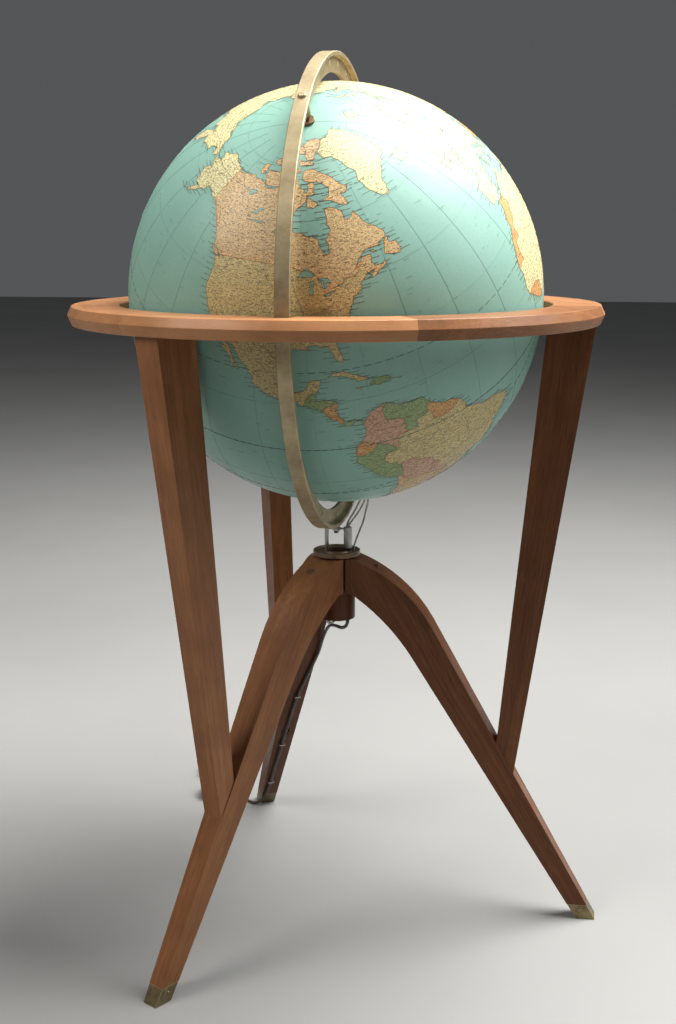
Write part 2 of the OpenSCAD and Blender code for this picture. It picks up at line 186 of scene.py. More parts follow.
def in_leg(n, x, y, z):
    """A point of leg n's own frame (x outwards, y across), in mm, as a place in the row frame."""
    c, s = cos(LEG_TURNS[n]), sin(LEG_TURNS[n])
    return Vector((x * c - y * s, x * s + y * c, z)) * MM


# ---------------------------------------------------------------- materials

class Shader:
    """A node material on one principled shader, with short calls to add nodes."""

    def __init__(self, name, **sockets):
        self.material = bpy.data.materials.new(name)
        self.material.use_nodes = True
        self.tree = self.material.node_tree
        self.bsdf = self.tree.nodes["Principled BSDF"]
        for socket, value in sockets.items():
            self.bsdf.inputs[socket.replace("_", " ")].default_value = value

    def add(self, kind, inputs=None, **settings):
        node = self.tree.nodes.new("ShaderNode" + kind)
        for key, value in settings.items():
            setattr(node, key, value)
        for key, value in (inputs or {}).items():
            self.put(node.inputs[key], value)
        return node

    def put(self, socket, value):
        """Links another node's output to the socket, or sets a constant."""
        if isinstance(value, bpy.types.NodeSocket):
            self.tree.links.new(value, socket)
        else:
            socket.default_value = value

    def scaled(self, vector, scale):
        return self.add("Mapping", {"Vector": vector, "Scale": scale}).outputs[0]

    def noise(self, vector, scale, detail=6.0, rough=0.55, distort=0.0):
        return self.add("TexNoise", {"Vector": vector, "Scale": scale, "Detail": detail,
                                     "Roughness": rough, "Distortion": distort}).outputs[0]

    def ramp(self, factor, *stops):
        """A colour ramp; each stop is (place, grey or colour)."""
        node = self.add("ValToRGB", {"Fac": factor})
        for i, (place, value) in enumerate(stops):
            e = node.color_ramp.elements[i] if i < 2 else node.color_ramp.elements.new(place)
            e.position = place
            e.color = (*value, 1) if isinstance(value, tuple) else (value, value, value, 1)
        return node.outputs[0]

    def mix(self, factor, a, b, blend="MIX"):
        """Two colours mixed; inputs 0, 6 and 7 are a colour mix's factor, A and B."""
        node = self.add("Mix", data_type="RGBA", blend_type=blend)
        for i, value in ((0, factor), (6, a), (7, b)):
            self.put(node.inputs[i], (*value, 1) if isinstance(value, tuple) else value)
        return node.outputs[2]

    def math(self, operation, *values):
        node = self.add("Math", operation=operation)
        for socket, value in zip(node.inputs, values):
            self.put(socket, value)
        return node.outputs[0]

    def attribute(self, name):
        return self.add("Attribute", attribute_name=name)

    def place(self):
        return self.add("TexCoord").outputs["Object"]

    def colour(self, value):
        self.put(self.bsdf.inputs["Base Color"], value)

    def rough(self, value):
        self.put(self.bsdf.inputs["Roughness"], value)

    def bump(self, height, strength, distance):
        normal = self.add("Bump", {"Height": height, "Strength": strength, "Distance": distance})
        self.put(self.bsdf.inputs["Normal"], normal.outputs[0])


def shade(colour, factor, most=1.0):
    return tuple(min(most, v * factor) for v in colour)


def wood_material():
    """Lacquered walnut. The mesh's "grain" attribute gives the place in the board, in metres, with
    the grain along x; "tone" is the board's lightness, with painted shade in the low tones of legs 2
    and 3 and their struts, and "edge" marks the rounded edges, which get pale chips, lighter wear and a
    painted highlight."""
    s = Shader("walnut_lacquer", Roughness=0.4, Specular_IOR_Level=0.16, Coat_Weight=0.07,
               Coat_Roughness=0.22)
    grain = s.attribute("grain").outputs["Vector"]
    tone = s.attribute("tone").outputs["Fac"]
    edge = s.attribute("edge").outputs["Fac"]
    bend = s.noise(s.scaled(grain, (5, 28, 28)), 1.0, 3.0)
    wavy = s.add("VectorMath", {0: grain, 1: s.add("VectorMath", {
        0: bend, "Scale": 0.014}, operation="SCALE").outputs[0]}, operation="ADD").outputs[0]
    bands = s.noise(s.scaled(wavy, (2.4, 80, 80)), 1.0, 4.0, 0.6)
    streaks = s.noise(s.scaled(wavy, (7, 360, 360)), 1.0, 3.0, 0.55)
    fibre = s.noise(s.scaled(wavy, (14, 1100, 1100)), 1.0, 3.0, 0.6)
    pores = s.noise(s.scaled(wavy, (60, 2600, 2600)), 1.0, 2.0, 0.5)
    base = s.ramp(bands, (0.3, (0.13, 0.05, 0.021)), (0.72, (0.34, 0.158, 0.068)),
                  (0.5, (0.225, 0.096, 0.042)))
    base = s.mix(s.ramp(streaks, (0.4, 0.0), (0.62, 0.5)), base, (0.085, 0.032, 0.014))
    base = s.mix(s.ramp(fibre, (0.38, 0.0), (0.66, 0.4)), base, (0.42, 0.215, 0.105))
    base = s.mix(s.ramp(pores, (0.56, 0.0), (0.68, 0.45)), base, (0.07, 0.026, 0.012))
    # The board's tone: light boards mix towards pale walnut; the low tones of legs 2 and 3 and their struts
    # are painted shade
    base = s.mix(s.ramp(tone, (0.0, 0.0), (1.0, 0.82)), base, (0.52, 0.262, 0.128))
    clouds = s.ramp(s.noise(grain, 26.0, 2.0), (0.45, 0.0), (0.7, 0.3))
    base = s.mix(clouds, base, (0.16, 0.066, 0.03))
    # Low tones multiply the colour down: painted shade on legs 2 and 3 and their struts
    board = s.ramp(tone, (0.0, (0.4, 0.28, 0.18)), (0.45, (0.98, 0.92, 0.84)))
    base = s.mix(1.0, base, board, "MULTIPLY")
    # The rounded edges made lighter: partly wear through the lacquer, partly a painted highlight along the
    # edges
    rubbed_and_highlit = s.math("MULTIPLY", edge, s.ramp(s.noise(grain, 130.0, 4.0), (0.4, 0.1), (0.62, 0.75)))
    base = s.mix(rubbed_and_highlit, base, (0.5, 0.29, 0.165))
    chips = s.math("MULTIPLY", edge, s.ramp(s.noise(grain, 75.0, 1.0), (0.66, 0.0), (0.69, 0.9)))
    base = s.mix(chips, base, (0.74, 0.56, 0.42))
    s.colour(base)
    s.rough(s.ramp(s.noise(grain, 60.0, 4.0), (0.3, 0.3), (0.7, 0.46)))
    s.bump(s.mix(0.5, fibre, pores), 0.14, 0.0004)
    return s.material


def brass_material(name, light, dark, rough=0.36, patina=0.5, metallic=1.0):
    """Dull brass or bronze with patina, a fine grain and its rounded edges made bright: partly wear, partly
    a painted highlight.
    """
    s = Shader(name, Metallic=metallic, Roughness=rough)
    place = s.place()
    cloud = s.noise(place, 38.0, 5.0, 0.6)
    fine = s.noise(place, 700.0, 3.0, 0.6)
    base = s.mix(s.ramp(cloud, (0.35, 0.0), (0.7, 1.0)), light, dark)
    base = s.mix(s.ramp(s.noise(place, 190.0, 3.0), (0.52, 0.0), (0.66, patina)), base,
                 shade(dark, 0.45))
    # Rounded edges made bright: partly wear, partly a painted highlight
    worn_and_highlit = s.math("MULTIPLY", s.attribute("edge").outputs["Fac"],
                  s.ramp(s.noise(place, 90.0, 3.0), (0.35, 0.25), (0.65, 0.9)))
    base = s.mix(worn_and_highlit, base, shade(light, 1.6))
    s.colour(base)
    s.rough(s.ramp(s.mix(0.5, cloud, fine), (0.3, rough - 0.06), (0.7, rough + 0.14)))
    s.bump(fine, 0.1, 0.0003)
    return s.material


def plastic_material(name, colour, rough=0.45, grain=900.0, metallic=0.0):
    """A plain surface with fine unevenness in colour and gloss."""
    s = Shader(name, Roughness=rough, Metallic=metallic)
    place = s.place()
    cloud = s.noise(place, 60.0, 4.0)
    s.colour(s.mix(s.ramp(cloud, (0.35, 0.0), (0.7, 0.6)), colour, shade(colour, 0.6)))
    s.rough(s.ramp(cloud, (0.3, max(0.05, rough - 0.08)), (0.7, rough + 0.1)))
    s.bump(s.noise(place, grain, 3.0), 0.12, 0.0002)
    return s.material


def map_material(name, colour, darker=0.82, mottle=0.5, band=None):
    """Printed, varnished paper: the colour mottled by age, with a satin gloss. The band is the
    second colour that is printed along a land's coast and borders, with the land's small print."""
    s = Shader(name, Roughness=0.5, Specular_IOR_Level=0.28, Coat_Weight=0.16, Coat_Roughness=0.4)
    place = s.place()
    cloud = s.noise(place, 14.0, 5.0, 0.6)
    fleck = s.noise(place, 420.0, 3.0, 0.6)
    base = s.mix(s.ramp(cloud, (0.35, 0.0), (0.72, mottle)), colour, shade(colour, darker))
    if band:
        rim = s.math("ADD", s.attribute("rim").outputs["Fac"],
                     s.ramp(s.noise(place, 240.0, 3.0), (0.3, 0.0), (0.7, 0.16)))
        base = s.mix(s.ramp(rim, (0.52, 0.0), (0.72, 0.62)), base, band)
        paler = s.ramp(s.noise(place, 520.0, 2.0), (0.53, 0.0), (0.62, 0.55))
        base = s.mix(paler, base, shade(colour, 1.28, 0.86))
        dots = s.noise(s.scaled(place, (1, 1, 1.5)), 820.0, 2.0)
        base = s.mix(s.ramp(dots, (0.52, 0.0), (0.6, 0.68)), base, (0.17, 0.115, 0.06))
    base = s.mix(s.ramp(fleck, (0.5, 0.0), (0.72, 0.26)), base, shade(colour, 0.7))
    s.colour(base)
    s.rough(s.ramp(s.noise(place, 30.0, 3.0), (0.3, 0.42), (0.7, 0.56)))
    s.bump(s.noise(place, 160.0, 3.0), 0.05, 0.0004)
    return s.material


WALNUT = wood_material()
BRONZE = brass_material("meridian_bronze", (0.45, 0.37, 0.225), (0.28, 0.22, 0.125), 0.46,
                        patina=0.15, metallic=0.7)
DULL_BRASS = brass_material("dull_brass", (0.27, 0.21, 0.11), (0.13, 0.1, 0.055), 0.4,
                            metallic=0.8)
HUB_BRASS = brass_material("hub_brass", (0.22, 0.145, 0.09), (0.12, 0.07, 0.042), 0.42,
                           metallic=0.6)
NUMERAL_BRASS = brass_material("numeral_brass", (0.78, 0.7, 0.5), (0.6, 0.5, 0.32), 0.34,
                               patina=0.2, metallic=0.7)
BUSH_BRONZE = brass_material("bush_bronze", (0.24, 0.165, 0.085), (0.12, 0.08, 0.04), 0.42,
                             metallic=0.8)
COPPER = brass_material("spacer_copper", (0.46, 0.23, 0.14), (0.25, 0.12, 0.08), 0.42)
STEEL = plastic_material("zinc_steel", (0.5, 0.5, 0.49), 0.36, metallic=1.0)
BLACK = plastic_material("black_steel", (0.03, 0.028, 0.026), 0.4)
CORD_PVC = plastic_material("cord_pvc", (0.055, 0.045, 0.04), 0.42)
LEAD_PVC = plastic_material("lead_pvc", (0.5, 0.45, 0.38), 0.34)
PLUG_WOOD = plastic_material("walnut_plug", (0.1, 0.042, 0.02), 0.5)
BEECH = plastic_material("beech", (0.5, 0.36, 0.22), 0.6)
PAPER = plastic_material("paper_tie", (0.7, 0.66, 0.58), 0.7)
GLASS = plastic_material("frosted_bulb", (0.8, 0.78, 0.72), 0.3)


# ---------------------------------------------------------------- pieces made from CAD nodes

# Every random draw comes from here, so each run gives the same result
chance = random.Random(16)
# Vertices nearer than this become one, and faces that meet flatter than this become one
WELD = 2e-6
FLAT = radians(0.6)


def refined(node, name, material, width, limit=40, axes=None, tone=0.5):
    """A copy of a CAD node with its edges sharper than limit, in degrees, rounded. Axes (along,
    across, deep) turn a place into the wood's own grain coordinates; the tone is the board's,
    from dark to light, and the low tones of legs 2 and 3 and their struts are painted shade."""
    source = frame["nodes"][node]
    bm = bmesh.new()
    bm.from_mesh(source.data)
    bmesh.ops.remove_doubles(bm, verts=bm.verts[:], dist=WELD)
    bmesh.ops.dissolve_limit(bm, angle_limit=FLAT, verts=bm.verts[:], edges=bm.edges[:])
    sharp = [e for e in bm.edges
             if len(e.link_faces) == 2 and e.calc_face_angle(0) > radians(limit)]
    made = bmesh.ops.bevel(bm, geom=sharp, offset=width, offset_type="OFFSET", segments=2,
                           profile=0.5, affect="EDGES", clamp_overlap=True)
    rounded = set(made["faces"])
    bm.faces.index_update()
    # Marks the rounded faces, which the materials make lighter: partly wear, partly a painted highlight
    worn_and_highlit = [1.0 if f in rounded else 0.0 for f in bm.faces]
    mesh = bpy.data.meshes.new(name)
    bm.to_mesh(mesh)
    bm.free()
    for layer in ("custom_normal", "sharp_edge", "sharp_face"):
        if layer in mesh.attributes:
            mesh.attributes.remove(mesh.attributes[layer])
    for p in mesh.polygons:
        p.use_smooth = True
    mesh.set_sharp_from_angle(angle=radians(limit))
    mesh.attributes.new("edge", "FLOAT", "FACE").data.foreach_set("value", worn_and_highlit)
    if axes:
        shift = Vector([chance.uniform(1, 5) for _ in range(3)])
        grain = [Vector([v.co.dot(a) for a in axes]) + shift for v in mesh.vertices]
        flat = [c for g in grain for c in g]
        mesh.attributes.new("grain", "FLOAT_VECTOR", "POINT").data.foreach_set("vector", flat)
        mesh.attributes.new("tone", "FLOAT", "POINT").data.foreach_set(
            "value", [tone] * len(mesh.vertices))
    piece = linked(name, mesh)
    only_material(mesh, material)
    even = piece.modifiers.new("even_normals", "WEIGHTED_NORMAL")
    even.keep_sharp = True
    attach(piece, source["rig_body"])
    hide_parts(node)
    return piece


# ---------------------------------------------------------------- mains cord and lamp leads

CORD_D = 3.6 * MM
LEAD_D = 2.0 * MM
# The plug's relief, in mm: its length, its width at the plug, how much of that it loses on the
# way to the cord, and how much narrower it is in the grooves between its ribs
RELIEF_LENGTH, RELIEF_WIDTH, RELIEF_TAPER, RELIEF_GROOVE = 23, 7.4, 3.3, 0.5
# The routes of part.scad, in mm: the cord's in leg 3's own frame, the leads' in the row frame
CORD_ROUTE = [(-6.1, -9.9, 322), (-6, -9.9, 312), (-1, -9.5, 304.5), (9, -8.4, 300),
              (24, -7.6, 298), (42, -8.6, 293.5), (58, -11, 286), (72, -12.6, 276),
              (84, -13.4, 263.5), (97, -14.2, 247.5), (110, -12, 229), (124, -7.5, 206.5),
              (142, -2.5, 178), (168, 0, 136.5), (200, 2, 85.5), (232, 4, 34.5), (244, 6, 16),
              (249, 10.5, 7.5), (254, 16, 3.2), (262, 21, 1.9), (276, 23.8, 1.9),
              (289, 24.6, 1.9), (300, 24.6, 1.9)]
TAIL_ROUTE = [(320, 32.6, 16), (330, 38.6, 11.5), (338, 43.2, 7.6), (346.5, 46, 6)]
BRANCH_ROUTE = [(0, 1, 322), (0.4, 1.2, 313.5), (4.5, 3.4, 308), (13, 4.8, 307), (25, 2, 304),
                (36, -4, 298), (44, -8.6, 293)]
LEAD_ROUTES = {
    "a": [(10.6, 0.8, 400), (10.6, 0.8, 412), (12, 7, 418), (13, 22, 421), (13, 45, 424),
          (13, 75, 429), (12, 105, 437), (8.5, 132, 445.5), (4.2, 146, 450.6),
          (1.9, 151.1, 452.6), (1.3, 152.7, 456), (1.25, 151.4, 459.5), (1.25, 147, 465)],
    "b": [(12.8, -0.8, 400), (12.8, -0.8, 412), (15, 6, 417), (16.4, 22, 419.5),
          (16.6, 45, 421.5), (16, 75, 426), (13, 108, 435), (4.8, 138, 445), (0.8, 147.4, 449.6),
          (-0.9, 151.3, 452.3), (-1.3, 152.7, 456), (-1.25, 151.4, 459.5), (-1.25, 147, 465)],
    "c": [(17.6, 4.4, 383.1), (17.6, 4.4, 391), (20.5, 11, 402), (23.5, 21, 412),
          (23, 40, 419.5), (20, 70, 423), (16, 104, 431), (8, 138, 441.8), (2.6, 148, 447.6),
          (0.6, 153, 451), (0, 154.9, 456), (0, 153.2, 460.7), (0, 148.6, 466.3)]}
# The coil's middle, and each turn's radius and height
COIL_AT = (300, 48)
COIL_SLOTS = [(23.4, 1.9), (19.6, 1.9), (19.6, 5.6), (23.4, 5.6), (23.4, 9.3), (19.6, 9.3),
              (19.6, 13.0), (23.4, 13.0), (19.6, 16.7), (23.4, 16.7)]
# Angles in degrees: where the cord enters and leaves, where a turn begins to step to the next
# slot, and how long the step takes
COIL_IN, COIL_OUT, COIL_STEP_AT, COIL_STEP = -90.0, -60.0, 120, 50


def coil_line(steps=40):
    """The coil's turns in leg 3's frame, with that many steps to a turn."""
    line = []
    top_slot = len(COIL_SLOTS) - 1
    first, last = COIL_IN, COIL_OUT + 360 * top_slot
    count = int((last - first) / 360 * steps)
    for i in range(1, count + 1):
        angle = first + (last - first) * i / count
        turns = (angle - COIL_STEP_AT) / 360
        slot = math.floor(turns) + 1
        t = min(1.0, (turns - math.floor(turns)) * 360 / COIL_STEP)
        t = t * t * (3 - 2 * t)
        (r0, z0), (r1, z1) = COIL_SLOTS[max(slot - 1, 0)], COIL_SLOTS[min(slot, top_slot)]
        r, z = r0 + (r1 - r0) * t, z0 + (z1 - z0) * t
        a = radians(angle)
        line.append((COIL_AT[0] + r * cos(a), COIL_AT[1] + r * sin(a), z))
    return line


def make_plug(tail):
    """The plug's moulding and the ribbed, tapered relief where the cord enters it."""
    moulding = refined("plug_body", "plug_moulding", CORD_PVC, 1.4 * MM, 30)
    line, run = [tail[-1]], 0.0
    for a, b in zip(tail[::-1], tail[-2::-1]):
        run += (b - a).length
        if run > RELIEF_LENGTH * MM:
            break
        line.append(b)
    line = smooth_line([line[0], line[len(line) // 3], line[2 * len(line) // 3], line[-1]], 12)
    widths = []
    for i in range(len(line)):
        t = i / (len(line) - 1)
        groove = RELIEF_GROOVE * MM if i % 4 < 2 and 0.12 < t < 0.88 else 0.0
        widths.append((RELIEF_WIDTH - RELIEF_TAPER * t) * MM - groove)
    relief = tube_cord("plug_relief", line, widths, CORD_PVC, 20)
    relief.data.set_sharp_from_angle(angle=radians(35))
    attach(relief, "stand")
    return moulding, relief


def make_cords():
    coil = coil_line()
    route = [tuple(p) for p in smooth_line(CORD_ROUTE, 6)]
    tail = [tuple(p) for p in smooth_line([coil[-1]] + TAIL_ROUTE, 6)][1:]
    line = [in_leg(3, *p) for p in route + coil + tail]
    cord = curve_cord("mains_flex", line, CORD_D, CORD_PVC)
    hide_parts("mains_cord", "mains_cord_coil", "mains_cord_tail")
    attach(cord, "stand")
    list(make_plug([in_leg(3, *p) for p in tail]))

    line = [in_leg(3, *p) for p in smooth_line(BRANCH_ROUTE, 5)]
    branch = curve_cord("mains_branch_wire", line, LEAD_D, LEAD_PVC)
    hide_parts("mains_branch")
    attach(branch, "stand")

    for letter, route in LEAD_ROUTES.items():
        line = [p * MM for p in smooth_line(route, 6)]
        lead = tube_cord("lamp_wire_" + letter, line, LEAD_D, LEAD_PVC)
        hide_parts("lamp_lead_" + letter)
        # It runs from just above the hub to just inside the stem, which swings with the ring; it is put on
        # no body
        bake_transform(lead)


make_cords()


# ---------------------------------------------------------------- wood and metal pieces

def outward(turn, out, up):
    """A direction in a leg's plane: that much outwards and that much up."""
    return Vector((cos(turn) * out, sin(turn) * out, up)).normalized()


# Each board's tone, from dark to light: the ring's six, and each leg's with its strut's; the low
# tones of legs 2 and 3 and their struts are painted shade, for the shade those legs stand in
RING_TONES = (0.3, 0.5, 0.4, 0.55, 0.65, 0.8)
LEG_TONES_WITH_SHADE = {1: (0.26, 0.3), 2: (0.08, 0.1), 3: (0.04, 0.14)}
# Where the ring's first joint lies, and how many degrees each of its boards takes
RING_START, BOARD_TURN = -64, 60
# How far the grain of a leg and of a strut runs outwards and upwards
LEG_GRAIN, STRUT_GRAIN = (0.488, -0.873), (0.119, 0.993)


def make_wood():
    up = Vector((0, 0, 1))
    for k, tone in enumerate(RING_TONES, start=1):
        middle = radians(RING_START + BOARD_TURN * (k - 0.5))
        along, across = outward(middle + math.pi / 2, 1, 0), outward(middle, 1, 0)
        refined(f"horizon_segment_{k}", f"ring_board_{k}", WALNUT, 0.5 * MM, 40,
                (along, across, up), tone)
    for n, (tone, strut_tone) in LEG_TONES_WITH_SHADE.items():
        turn = LEG_TURNS[n]
        deep = outward(turn + math.pi / 2, 1, 0)
        along = outward(turn, *LEG_GRAIN)
        refined(f"leg_{n}", f"leg_board_{n}", WALNUT, 1.1 * MM, 40,
                (along, along.cross(deep), deep), tone)
        along = outward(turn, *STRUT_GRAIN)
        refined(f"strut_{n}", f"strut_board_{n}", WALNUT, 1.0 * MM, 40,
                (along, along.cross(deep), deep), strut_tone)
    refined("hub_post", "hub_turning", WALNUT, 0.8 * MM, 40,
            (up, Vector((1, 0, 0)), Vector((0, 1, 0))), 0.0)


# Each metal node, its visible piece, material and slot, and the width of its rounded edges in mm
METAL = [
    ("meridian_ring", "meridian_casting", BRONZE, "meridian_brass", 0.25),
    ("north_pin", "pole_screw", BRONZE, "meridian_brass", 0.4),
    ("south_nut", "pole_nut", BRONZE, "meridian_brass", 0.4),
    ("north_spacer", "pole_spacer", COPPER, "copper", 0.3),
    ("hub_disc", "hub_plate", HUB_BRASS, "hub_brass", 0.4),
    ("conduit_collar", "conduit_nut", BLACK, "black_steel", 0.3),
    *((f"foot_ferrule_{n}", f"foot_cap_{n}", DULL_BRASS, "ferrule_brass", 0.5) for n in (1, 2, 3)),
    ("cradle_roller", "roller_wheel", STEEL, "steel", 0.3),
    ("north_bush", "north_collar", BUSH_BRONZE, "socket_black", 0.4),
    ("south_bush", "south_collar", BUSH_BRONZE, "socket_black", 0.4)]


def make_metal():
    for node, name, material, slot, width in METAL:
        refined(node, name, material, width * MM, 30)


def make_numerals():
    """The raised degree numerals on both faces of the meridian's web, every 10 degrees, from 0 at
    the equator to 80; the two poles have none."""
    middle_r, height, relief, web = 219.6 * MM, 5.6 * MM, 0.14 * MM, 1.6 * MM
    north = math.atan2(NORTH.z, NORTH.y)
    bm = bmesh.new()
    for k in range(36):
        if k % 18 == 0:
            continue
        curve = bpy.data.curves.new("numeral", "FONT")
        curve.body = str(abs(90 - 10 * min(k, 36 - k)))
        curve.size, curve.extrude, curve.resolution_u = height, relief, 2
        curve.align_x, curve.align_y = "CENTER", "CENTER"
        text = bpy.data.objects.new("numeral", curve)
        letters = bpy.data.meshes.new_from_object(text)
        out = Vector((0, cos(north + radians(10 * k)), sin(north + radians(10 * k))))
        for side in (1, -1):
            right = Vector((0, out.z, -out.y)) * side
            turn = Matrix((right, out, (side, 0, 0))).transposed().to_4x4()
            place = BALL + out * middle_r + Vector((side * (web + 0.7 * relief), 0, 0))
            copy = letters.copy()
            copy.transform(Matrix.Translation(place) @ turn)
            bm.from_mesh(copy)
            bpy.data.meshes.remove(copy)
        bpy.data.objects.remove(text)
        bpy.data.meshes.remove(letters)
        bpy.data.curves.remove(curve)
    bmesh.ops.remove_doubles(bm, verts=bm.verts[:], dist=WELD)
    mesh = bpy.data.meshes.new("degree_numerals")
    bm.to_mesh(mesh)
    bm.free()
    only_material(mesh, NUMERAL_BRASS)
    piece = linked("degree_numerals", mesh)
    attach(piece, "meridian")


KEPT_NODES = {
    "guide_pin": STEEL, "wire_conduit": STEEL, "roller_axle": STEEL,
    "axle_collars": STEEL, "ferrule_pins": DULL_BRASS, "degree_marks": NUMERAL_BRASS,
    "lamp_stem": BRONZE, "lamp_socket": BLACK, "lamp_bulb": GLASS, "equator_ring": PAPER,
    "ring_dowels": BEECH, "strut_dowels": BEECH, "leg_dowels": PLUG_WOOD, "strut_screws": STEEL,
    "wire_staples": STEEL, "coil_tie": PAPER, "plug_blades": DULL_BRASS}


def paint_nodes():
    """Gives the CAD nodes that stay in view their materials."""
    for node, material in KEPT_NODES.items():
        only_material(frame["nodes"][node].data, material)


make_wood()
make_metal()
make_numerals()
paint_nodes()


# ---------------------------------------------------------------- the printed ball

# How far the map is turned about the polar axis at rest, in degrees
TURN_ON_AXIS = 4.3
TILT = math.atan2(-NORTH.y, NORTH.z)
BALL_FRAME = Matrix.Translation(BALL) @ Matrix.Rotation(TILT, 4, "X")
# How deep each print reaches into the ball, and how far it stands out of it
PRINT_DEPTH = 0.05 * MM
LAND_LIFT, GRID_LIFT, LAKE_LIFT = 0.1 * MM, 0.12 * MM, 0.13 * MM
RIVER_LIFT, INK_LIFT, CIRCLE_LIFT = 0.15 * MM, 0.16 * MM, 0.17 * MM
# A border's end this near to another border is joined to it
JUNCTION = radians(1.7)
# Small print: the gap between two blocks, a coastal word's distance from its coast, the square mm
# of land for one word, the number of words scattered over the whole ball, and the latitude beyond
# which there is none of those; then the height of each kind of word
BLOCK_GAP, COAST_GAP = 0.35 * MM, 0.8 * MM
WORD_AREA, LOOSE_WORDS, LOOSE_WORD_LIMIT = 8.0, 1100, 75
LAND_WORD, COAST_WORD, LOOSE_WORD = 0.32 * MM, 0.34 * MM, 0.36 * MM
# How wide each line is printed, coasts as wide as borders, the equator wide and narrow in turn
COAST_LINE, RIVER_LINE, SHORE_LINE, GRID_LINE = 0.3 * MM, 0.28 * MM, 0.25 * MM, 0.16 * MM
CIRCLE_LINE, ECLIPTIC_LINE, EQUATOR_WIDE, EQUATOR_NARROW = 0.34 * MM, 0.5 * MM, 0.75 * MM, 0.3 * MM
TROPIC, POLAR_CIRCLE = 23.44, 66.56
